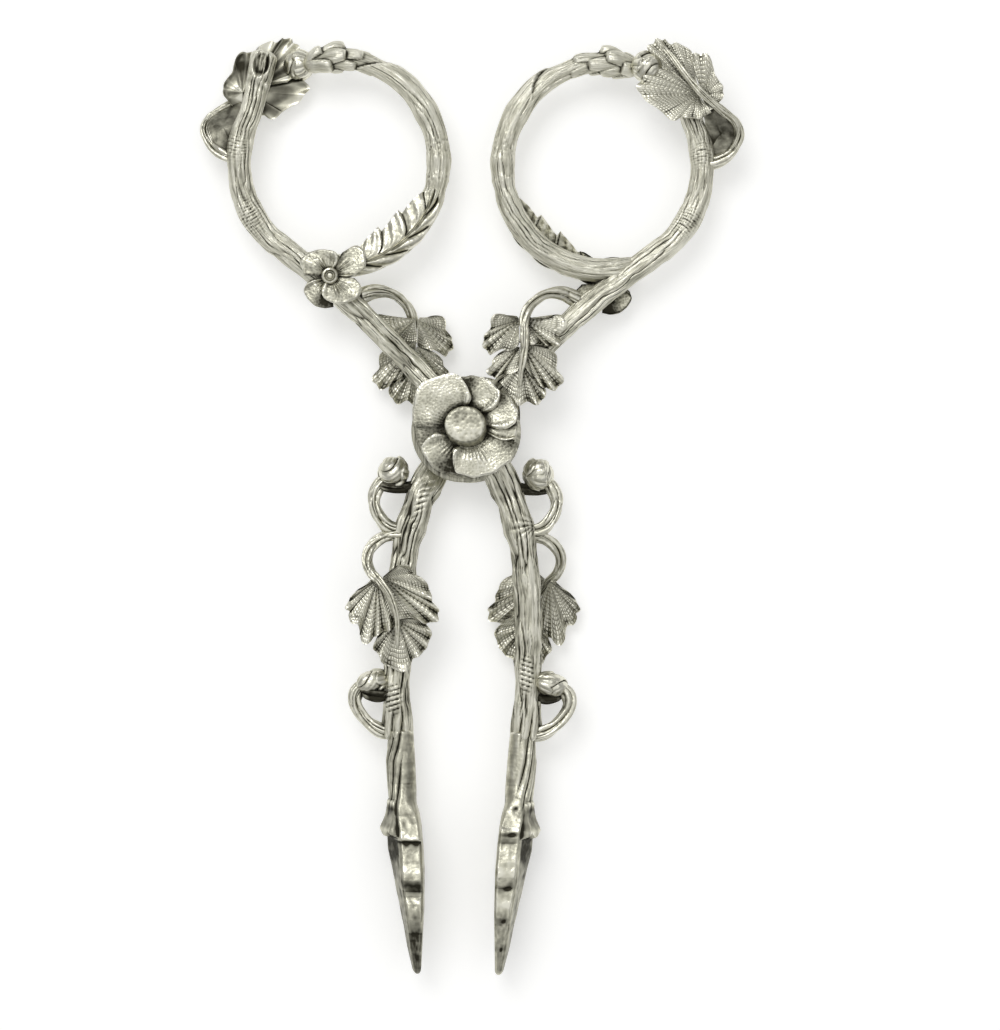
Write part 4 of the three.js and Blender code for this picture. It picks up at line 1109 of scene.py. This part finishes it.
def bud_shape(middle, radius, length, direction, seed):
    """A bud: three petals wrapped round each other, in a ribbed calyx with a jagged edge."""
    bm = new_bmesh()
    bmesh.ops.create_uvsphere(bm, u_segments=96, v_segments=64, radius=1.0, calc_uvs=True)
    at = points_of(bm)
    turn, height = np.arctan2(at[:, 1], at[:, 0]), np.clip(at[:, 2], -1, 1)
    wraps = np.mod(3 * turn / TURN + 0.8 * height + 0.31 * seed, 1)
    edge = -0.3 + 0.3 * np.abs(np.sin(2.5 * turn + seed))
    calyx = 1 - ease(height, edge - 0.06, edge + 0.06)
    crease = swell(np.minimum(wraps, 1 - wraps), 0.0, 0.06)
    folds = 0.15 * (wraps - 0.6) - 0.1 * crease + 0.014 * np.cos(4 * TURN * wraps)
    folds *= 1 - ease(height, 0.85, 1.0)
    ribs = 0.07 * (np.abs(np.cos(6 * turn)) - 0.6)
    at[:, :2] *= radius * (1 + (1 - calyx) * folds + calyx * (0.08 + ribs))[:, None]
    at[:, 2] = height * length / 2 * (1 + 0.4 * folds)
    facing = np.array(Vector(UP).rotation_difference(Vector(direction)).to_matrix())
    move_points(bm, at @ facing.T + np.array(middle))
    bmesh.ops.recalc_face_normals(bm, faces=bm.faces)
    set_patina_and_painted_light(bm, 0.4 * crease * (1 - calyx) - 0.12)
    return bm


def sheath_shape():
    """The long leaf that wraps the ring branch: a ribbed, toothed blade towards the ring's hole,
    and on the outer side four plump folds that lie over one another like feathers."""
    first, last = SHEATH_SPAN
    bm = new_grid(columns=72, rows=150)
    turn, along, _ = points_of(bm).T
    side = 2 * turn - 1
    away, is_blade = np.abs(side), side > 0
    middle = np.stack(ring_point(first + (last - first) * along), 1)
    inwards = np.array(RING_CENTRE) - middle
    inwards /= np.linalg.norm(inwards, axis=1)[:, None]
    blade = np.mod(along * 3.4 - 0.55 * away + 0.35, 1)
    feather = np.mod(along * 4.0 - 0.95 * away + 0.1, 1)
    taper = np.sqrt(np.clip(1 - along**6, 0, 1)) * (0.75 + 0.25 * ease(along, 0.0, 0.2))
    belly = np.sin(math.pi * np.clip(0.15 + 0.8 * along, 0, 1))
    tooth = 0.4 + 1.5 * belly * (0.45 + 0.55 * blade)
    inner = away * (1.7 + tooth * ease(away, 0.35, 1.0)) * taper
    outer = -away * (1.45 + 0.3 * np.sin(math.pi * feather)) * taper
    across = np.where(is_blade, inner, outer)
    arch = np.sqrt(np.clip(1 - (across / np.where(is_blade, 4.6, 2.2)) ** 2, 0, 1))
    ribs = 0.05 * np.cos(TURN * (along * 9 - 1.6 * away))
    steps = 0.22 * (ease(blade, 0.0, 0.8) - 0.5) - 0.1 * swell(blade, 0.0, 0.05)
    plump = 0.8 * (np.sin(math.pi * feather) ** 0.7 - 0.4) * ease(away, 0.05, 0.35)
    rise = 2.15 * arch + 0.22 * swell(side, 0, 0.06)
    rise += np.where(is_blade, (steps + ribs) * ease(away, 0.06, 0.3), plump)
    move_points(bm, np.column_stack((middle + inwards * across[:, None], rise)))
    spread_uv(bm, 5.0, 15.0)
    count = len(bm.verts)
    thicken(bm, 0.5, 1)
    # The folds of the outer side go down into the branch.
    at = points_of(bm)
    from_centre = np.hypot(*((at[:, :2] - np.array(RING_CENTRE)) / np.array(RING_RADII)).T)
    at[count:, 2] -= ease(from_centre[count:], 1.0, 1.06)
    move_points(bm, at)
    return bm


def petal(row, settings, seed, middle, inner, seat, patina_and_painted_light):
    """A hollow petal that faces the front: its first edge stands up and rolls over, its last one
    lies in the shade under the next petal, and it has fine lines from its root and a wavy rim."""
    first_height, last_height, covered, lined, reaches = row
    directions, lengths = np.array(reaches, float).T
    span = directions[-1] - directions[0]
    size = float(lengths.max())
    bm = new_grid(columns=max(40, round(span * 1.5)), rows=48)
    turn, out, _ = points_of(bm).T
    a = np.radians(directions)
    edge = Route(np.stack((lengths * np.cos(a), lengths * np.sin(a)), 1))
    x, y, _ = edge.at(turn * edge.length)[0].T
    wavy = grain(turn * span / 11, np.full(len(turn), 0.5), seed + 7)
    reach = inner + (np.hypot(x, y) * (1 + 0.03 * wavy) - inner) * out
    angle = np.unwrap(np.arctan2(y, x)) - 0.16 * np.sin(math.pi * out) * (1 - turn) ** 2
    climbed = 0.65 + 0.35 * ease(out, 0.0, 0.25)
    fold = swell(turn, 0.09, 0.06) * climbed
    pillow = np.sin(math.pi * np.clip(turn, 0, 0.999)) ** 0.6
    lines = np.cos(TURN * (directions[0] + span * turn) / (42 / size)) * swell(turn, lined, 0.24)
    lines *= ease(out, 0.06, 0.2) * (1 - ease(out, 0.4, 0.7))
    rise = last_height + (first_height - last_height) * (1 - turn) ** 1.5
    rise += 0.04 * size * pillow + 0.06 * size * fold - 0.25 * (1 - ease(turn, 0.0, 0.05))
    rise = rise * climbed + 0.08 * size * ease(out, 0.0, 0.5) - 0.2 * ease(out, 0.94, 1.0)
    rise += 0.07 * lines
    rise += 0.3 * grain(turn * span / 20, out * 2.2, seed) * ease(out, 0.1, 0.5)
    # No petal stands out beyond the rivet's face, on which the tongs lie.
    rise = PETAL_ROOM * np.tanh(rise / PETAL_ROOM)
    points = (middle[0] + reach * np.cos(angle), middle[1] + reach * np.sin(angle), seat + rise)
    move_points(bm, np.stack(points, 1))
    # Painted shade at the root, painted shadow under the next petal and behind the fold; painted
    # highlight on the fold and the rim.
    shade = patina_and_painted_light + 0.2 * (1 - ease(out, 0.04, 0.16))
    shade += 0.85 * ease(turn, covered - 0.4, covered - 0.02) + 0.3 * swell(turn, 1.0, 0.03)
    shade += 0.35 * swell(turn, 0.2, 0.035) * climbed * (1 - ease(out, 0.6, 0.9))
    shade -= 0.25 * np.clip(fold + 0.5 * swell(out, 0.97, 0.04), 0, 1) + 0.05 * pillow
    set_patina_and_painted_light(bm, shade)
    spread_uv(bm, math.radians(span) * size * 0.7, size)
    return thicken(bm, settings.relief.leaf_thickness / MM, 1)


def blossom_shape(settings):
    """The small four-petalled flower where the ring closes."""
    root = dict(middle=BLOSSOM_MIDDLE, inner=0.6, seat=1.85, patina_and_painted_light=0.16)
    return join(*[petal(row, settings, 40 + i, **root) for i, row in enumerate(BLOSSOM)])


def bead_shape():
    """The bead in the small flower's middle: a ring round a dot."""
    bm = turned(BEAD_PROFILE, steps=48)
    bmesh.ops.translate(bm, verts=bm.verts, vec=(*BLOSSOM_MIDDLE, BEAD_SEAT))
    return bm


def pivot_blossom_shape(settings):
    """The large flower on the pivot boss, with the plate under its petals."""
    top = BLOSSOM_SEAT + BLOSSOM_PLATE
    plate = drum(BLOSSOM_RADIUS, BLOSSOM_RADIUS - 0.2, BLOSSOM_SEAT, top)
    round_rims(plate, 0.15)
    # Painted shade on the plate, which shows only in the gaps between the petals.
    set_patina_and_painted_light(plate, PAINTED_SHADE)
    root = dict(middle=(0, 0), inner=2.6, seat=top - 0.05, patina_and_painted_light=0.07)
    petals = [petal(row, settings, 60 + i, **root) for i, row in enumerate(PIVOT_PETALS)]
    return join(plate, *petals)


def grip_section(from_keel, dip, inner, outer, half):
    """The cross-section of the grip's leaf, from the keel of its back over one edge to the middle
    of its face: places across, and heights on either side of the mid-plane."""
    reach = half - dip * half / GRIP_WIDEST
    edge = inner + np.minimum(2.9, 0.72 * (outer - inner))
    cup = inner + 0.6 * half / GRIP_WIDEST
    across = (outer, edge + 0.15, edge - 0.25, inner + 0.3, inner, cup)
    height = (0 * reach, 0.86 * reach, reach, reach, reach - 0.3, 0 * reach)
    x, z = np.zeros(len(half)), np.zeros(len(half))
    corners = list(zip(GRIP_SECTION, across, height))
    for (a, x0, z0), (b, x1, z1) in zip(corners, corners[1:]):
        share = np.clip((from_keel - a) / (b - a), 0, 1)
        here = (from_keel >= a) & (from_keel <= b)
        x = np.where(here, x0 + (x1 - x0) * share, x)
        z = np.where(here, z0 + (z1 - z0) * share, z)
    return x, z


def grip_shape():
    """The leaf-shaped jaw tip: a cupped face towards the other grip, a lobed edge on either side
    of it and a keeled back, with a calyx of curled sepals where it leaves the grooved shank."""
    bm = new_grid(columns=128, rows=300)
    turn, along, _ = points_of(bm).T
    angle = turn * TURN
    c, s = np.cos(angle), np.sin(angle)
    from_keel, back_side = np.minimum(turn, 1 - turn), turn > 0.5
    below = GRIP_FROM + GRIP_LENGTH * along
    inner, outer = along_table(below, GRIP_INNER), along_table(below, GRIP_OUTER)
    half, middle = along_table(below, GRIP_HALF), (inner + outer) / 2
    back = 1 - ease(from_keel, 0.165, 0.2)
    # The shank: strands that wind on its outer side.
    winding = 5 * angle - 0.5 * below + 0.7 * round_grain(angle, below, 3, 2.5, 86)
    strand = np.abs(np.sin(winding)) ** 0.6 - 1
    twist = 0.4 * strand * ease(c, -0.35, 0.2)
    x = middle + ((outer - inner) / 2 + twist) * c
    z = (half + twist) * s
    # The leaf: each lobe of its edges swells towards its end and drops into a notch.
    leafy = ease(below, 48.5, 53)
    deep, shallow = along_table(below, GRIP_BACK_EDGE), along_table(below, GRIP_FRONT_EDGE)
    dip = leafy * np.where(back_side, deep, shallow)
    leaf_x, leaf_z = grip_section(from_keel, dip, inner, outer, half)
    uneven = 1 + 0.02 * round_grain(angle, below, 24, 0.9, 83)
    x += (leaf_x - x) * leafy
    z += (leaf_z * np.where(back_side, -1, 1) * uneven - z) * leafy
    # The calyx, whose sepals end in a wavy hem.
    hem = 54.2 + 0.8 * np.abs(np.sin(3.5 * angle))
    calyx = ease(below, 50.1, 50.5) * (1 - ease(below, hem, hem + 0.3)) * back
    x += calyx * (0.25 + 0.75 * ease(below, 51.0, 54.4) ** 2)
    z *= 1 + 0.06 * calyx
    x += 0.05 * grain(3 * from_keel / 0.19, below / 1.6, 84) * back * ease(below, 55, 57)
    tip = rounded_ends(along * GRIP_LENGTH, GRIP_LENGTH, 0.6, 0.8)
    pits = sum(swell(below, p, 0.3) for p in GRIP_PITS) * swell(turn, 0.27, 0.025)
    move_points(bm, np.stack((middle + (x - middle) * tip, -below, z * tip - 0.2 * pits), 1))
    # Patina and painted shade: in the shank's grooves and scratches, in the hollow below the calyx,
    # over the leaf's keeled back, which faces away from the light, along the back's rim and in the
    # pits; lighter and darker rings on the calyx; then bands of painted highlight and painted shade
    # on the lobed edges.
    scratches = round_grain(angle, below, 10, 0.25, 87)
    grooves = ease(c, -0.1, 0.3) * (0.1 - 1.2 * strand)
    grooves += ease(-c, 0.0, 0.5) * (0.25 + 0.4 * scratches)
    shade = 0.12 + 0.12 * back_side + 0.12 * round_grain(angle, below, 40, 0.7, 85)
    shade += 0.32 * grooves * (1 - leafy) + 0.35 * swell(below, 57.0, 2.0) * back
    shade += (0.1 + 0.25 * back + 0.35 * swell(from_keel, 0.205, 0.012)) * leafy
    shade += swells(below, CALYX_RIMS) * back + 0.4 * pits
    painted_light_bands = np.where(back_side, swells(below, GRIP_BACK_PAINTED_LIGHT), swells(below, GRIP_FRONT_PAINTED_LIGHT))
    face = ease(from_keel, 0.2, 0.225) * (1 - ease(from_keel, 0.38, 0.42)) * leafy
    set_patina_and_painted_light(bm, shade + face * painted_light_bands)
    spread_uv(bm, 12, GRIP_LENGTH)
    return close_up(bm)


def rivet_shape():
    """The peened rivet: at each end a domed head, a little askew, in a deep collar."""
    top = ARM_HEIGHT
    half = [(r, top - depth) for r, depth in HEAD_PROFILE]
    half += [(r, HEAD_SEAT - depth) for r, depth in COLLAR_PROFILE]
    bm = turned([*half, *[(r, -h) for r, h in reversed(half)]], steps=96)
    at = points_of(bm)
    share = np.clip((np.abs(at[:, 2]) - HEAD_SEAT) / (top - HEAD_SEAT), 0, 1)
    face = ease(share, 0.8, 0.95)
    # Painted highlight on the lower part of each face, and painted shade with patina down its side.
    set_patina_and_painted_light(bm, 0.35 * (1 - face) + (0.36 * ease(at[:, 1], -0.6, 1.0) - 0.1) * face)
    dents = 0.05 * grain(at[:, 0] / 0.9 + 7, at[:, 1] / 0.9 + 7, 90) - 0.05
    at[:, 2] += np.sign(at[:, 2]) * face * dents
    at[:, 1] *= 1 - 0.14 * share
    at[:, :2] += np.array(HEAD_LEAN) * share[:, None]
    at[:, 2] += ARM_HEIGHT
    move_points(bm, at)
    return bm


# Operators


class SUGAR_TONGS_OT_boughs(bpy.types.Operator):
    """Model the two boughs with their pivot bosses"""

    bl_idname = "sugar_tongs.boughs"
    bl_label = "Boughs"

    def execute(self, context):
        settings = context.scene.sugar_tongs
        on_both_arms(bough_shape(settings), "bough", bark_finish(settings))
        return {"FINISHED"}


class SUGAR_TONGS_OT_ring_branches(bpy.types.Operator):
    """Model the branches and sheath leaves that close the finger rings"""

    bl_idname = "sugar_tongs.ring_branches"
    bl_label = "Ring branches"

    def execute(self, context):
        settings = context.scene.sugar_tongs
        smoother = bark_finish(settings, "smooth silver bark", darkening=0.3)
        on_both_arms(ring_branch_shape(settings), "ring_branch", smoother)
        on_both_arms(sheath_shape(), "sheath_leaf", smooth_finish(settings))
        return {"FINISHED"}


class SUGAR_TONGS_OT_leaves(bpy.types.Operator):
    """Model the vine leaves"""

    bl_idname = "sugar_tongs.leaves"
    bl_label = "Vine leaves"

    def execute(self, context):
        settings = context.scene.sugar_tongs
        finish = leaf_finish(settings)
        for node, lobes, plain_back in LEAVES:
            on_both_arms(leaf_shape(lobes, plain_back, settings), node, finish)
        return {"FINISHED"}


class SUGAR_TONGS_OT_tendrils(bpy.types.Operator):
    """Model the tendrils"""

    bl_idname = "sugar_tongs.tendrils"
    bl_label = "Tendrils"

    def execute(self, context):
        finish = smooth_finish(context.scene.sugar_tongs)
        for node, *tendril in TENDRILS:
            on_both_arms(tendril_shape(*tendril), node, finish)
        on_both_arms(join(tendril_shape(*RING_TENDRIL), web_shape()), "ring_tendril", finish)
        return {"FINISHED"}


class SUGAR_TONGS_OT_buds(bpy.types.Operator):
    """Model the buds, and the bars painted black as shade under two of them"""

    bl_idname = "sugar_tongs.buds"
    bl_label = "Buds"

    def execute(self, context):
        finish = smooth_finish(context.scene.sugar_tongs)
        for node, bud, shade_bar in BUDS:
            shape = bud_shape(*bud)
            if shade_bar:
                under = tendril_shape(*shade_bar)
                # Painted shade: the bar under the bud is painted black all over.
                set_patina_and_painted_light(under, 1.0)
                shape = join(shape, under)
            on_both_arms(shape, node, finish)
        return {"FINISHED"}


class SUGAR_TONGS_OT_blossoms(bpy.types.Operator):
    """Model the small blossoms with their beads, and the large ones on the pivot"""

    bl_idname = "sugar_tongs.blossoms"
    bl_label = "Blossoms"

    def execute(self, context):
        settings = context.scene.sugar_tongs
        finish = petal_finish(settings)
        on_both_arms(blossom_shape(settings), "blossom", finish)
        on_both_arms(bead_shape(), "blossom_bead", smooth_finish(settings))
        on_both_arms(pivot_blossom_shape(settings), "pivot_blossom", finish)
        return {"FINISHED"}


class SUGAR_TONGS_OT_grips(bpy.types.Operator):
    """Model the leaf-shaped grips"""

    bl_idname = "sugar_tongs.grips"
    bl_label = "Grips"

    def execute(self, context):
        worn = smooth_finish(context.scene.sugar_tongs, "worn smooth silver", width=1.5, depth=0.1)
        on_both_arms(grip_shape(), "grip", worn)
        return {"FINISHED"}


class SUGAR_TONGS_OT_rivet(bpy.types.Operator):
    """Model the pivot's rivet"""

    bl_idname = "sugar_tongs.rivet"
    bl_label = "Rivet"

    def execute(self, context):
        finish = hammered_finish(context.scene.sugar_tongs)
        name, node = "pivot_rivet_silver", "pivot_rivet"
        finish_piece(rivet_shape(), name, finish, "front_arm", node)
        return {"FINISHED"}


class SUGAR_TONGS_OT_stage(bpy.types.Operator):
    """Make the floor, the light and the camera"""

    bl_idname = "sugar_tongs.stage"
    bl_label = "Stage"

    def execute(self, context):
        scene = context.scene
        studio = scene.sugar_tongs.studio
        self.make_floor(scene, studio)
        self.make_light(scene, studio)
        self.make_camera(scene, studio)
        scene.view_settings.view_transform = "Standard"
        return {"FINISHED"}

    def make_floor(self, scene, studio):
        """Matt paper, lifted to white for the eye and for what the silver reflects."""
        bm = bmesh.new()
        bmesh.ops.create_grid(bm, x_segments=1, y_segments=1, size=FLOOR_HALF)
        bmesh.ops.translate(bm, verts=bm.verts, vec=(0, 0, -FLOOR_GAP))
        mesh = bpy.data.meshes.new("floor")
        bm.to_mesh(mesh)
        bm.free()
        paper = bpy.data.materials.new("matt white paper")
        paper.use_nodes = True
        tree = paper.node_tree
        shader = tree.nodes["Principled BSDF"]
        shader.inputs["Base Color"].default_value = studio.floor
        shader.inputs["Roughness"].default_value = 0.9
        shader.inputs["Emission Color"].default_value = studio.floor
        ray = add(tree, "ShaderNodeLightPath").outputs
        seen = ray["Is Camera Ray"]
        for kind in ("Is Glossy Ray", "Is Transmission Ray"):
            seen = combine(tree, "MAXIMUM", seen, ray[kind])
        lift = combine(tree, "MULTIPLY", seen, PAPER_LIFT)
        tree.links.new(lift, shader.inputs["Emission Strength"])
        mesh.materials.append(paper)
        floor = bpy.data.objects.new("floor", mesh)
        scene.collection.objects.link(floor)

    def make_light(self, scene, studio):
        """Two round softboxes that face the pivot, in a pale room."""
        for name, size, power, place in (
            ("key softbox", KEY_SIZE, studio.key, KEY_PLACE),
            ("overhead softbox", OVERHEAD_SIZE, studio.overhead, OVERHEAD_PLACE),
        ):
            light = bpy.data.lights.new(name, "AREA")
            light.shape = "DISK"
            light.size = size
            light.energy = power
            softbox = bpy.data.objects.new(name, light)
            softbox.location = place
            softbox.rotation_euler = Vector(place).to_track_quat("Z", "Y").to_euler()
            scene.collection.objects.link(softbox)
        world = bpy.data.worlds.new("pale room")
        world.use_nodes = True
        background = world.node_tree.nodes["Background"]
        background.inputs["Strength"].default_value = studio.surround
        background.inputs["Color"].default_value = (1, 1, 1, 1)
        scene.world = world

    def make_camera(self, scene, studio):
        """Looks straight down, so that the pivot lies where the photograph has it."""
        scale = PHOTO_SCALE * MM
        right = (PHOTO_SIZE[0] / 2 - PHOTO_PIVOT[0]) * scale
        down = (PHOTO_SIZE[1] / 2 - PHOTO_PIVOT[1]) * scale
        x = right * math.cos(PHOTO_ROLL) + down * math.sin(PHOTO_ROLL)
        y = right * math.sin(PHOTO_ROLL) - down * math.cos(PHOTO_ROLL)
        cam = bpy.data.cameras.new("camera")
        cam.lens = studio.lens
        cam.sensor_width = SENSOR
        cam.clip_start = 0.01
        distance = studio.lens / SENSOR * PHOTO_SIZE[1] * scale
        obj = bpy.data.objects.new("camera", cam)
        obj.location = (x, y, ARM_HEIGHT * MM + distance)
        obj.rotation_euler = (0, 0, PHOTO_ROLL)
        scene.collection.objects.link(obj)
        scene.camera = obj


OPERATORS = (
    SUGAR_TONGS_OT_boughs,
    SUGAR_TONGS_OT_ring_branches,
    SUGAR_TONGS_OT_leaves,
    SUGAR_TONGS_OT_tendrils,
    SUGAR_TONGS_OT_buds,
    SUGAR_TONGS_OT_blossoms,
    SUGAR_TONGS_OT_grips,
    SUGAR_TONGS_OT_rivet,
    SUGAR_TONGS_OT_stage,
)


class SUGAR_TONGS_PT_panel(bpy.types.Panel):
    """Lists the pieces and the settings"""

    bl_idname = "SUGAR_TONGS_PT_panel"
    bl_label = "Sugar Tongs"
    bl_space_type = "VIEW_3D"
    bl_region_type = "UI"
    bl_category = "Sugar Tongs"

    def draw(self, context):
        settings = context.scene.sugar_tongs
        for operator in OPERATORS:
            self.layout.operator(operator.bl_idname)
        for group in (settings.silver, settings.relief, settings.studio):
            box = self.layout.box()
            for name in group.__annotations__:
                box.prop(group, name)


CLASSES = (
    SilverSettings,
    ReliefSettings,
    StudioSettings,
    SugarTongsSettings,
    *OPERATORS,
    SUGAR_TONGS_PT_panel,
)


def register():
    for cls in CLASSES:
        bpy.utils.register_class(cls)
    bpy.types.Scene.sugar_tongs = PointerProperty(type=SugarTongsSettings)


def unregister():
    del bpy.types.Scene.sugar_tongs
    for cls in reversed(CLASSES):
        bpy.utils.unregister_class(cls)


def main():
    register()
    bpy.ops.sugar_tongs.boughs()
    bpy.ops.sugar_tongs.ring_branches()
    bpy.ops.sugar_tongs.leaves()
    bpy.ops.sugar_tongs.tendrils()
    bpy.ops.sugar_tongs.buds()
    bpy.ops.sugar_tongs.blossoms()
    bpy.ops.sugar_tongs.grips()
    bpy.ops.sugar_tongs.rivet()
    bpy.ops.sugar_tongs.stage()


if __name__ == "__main__":
    main()
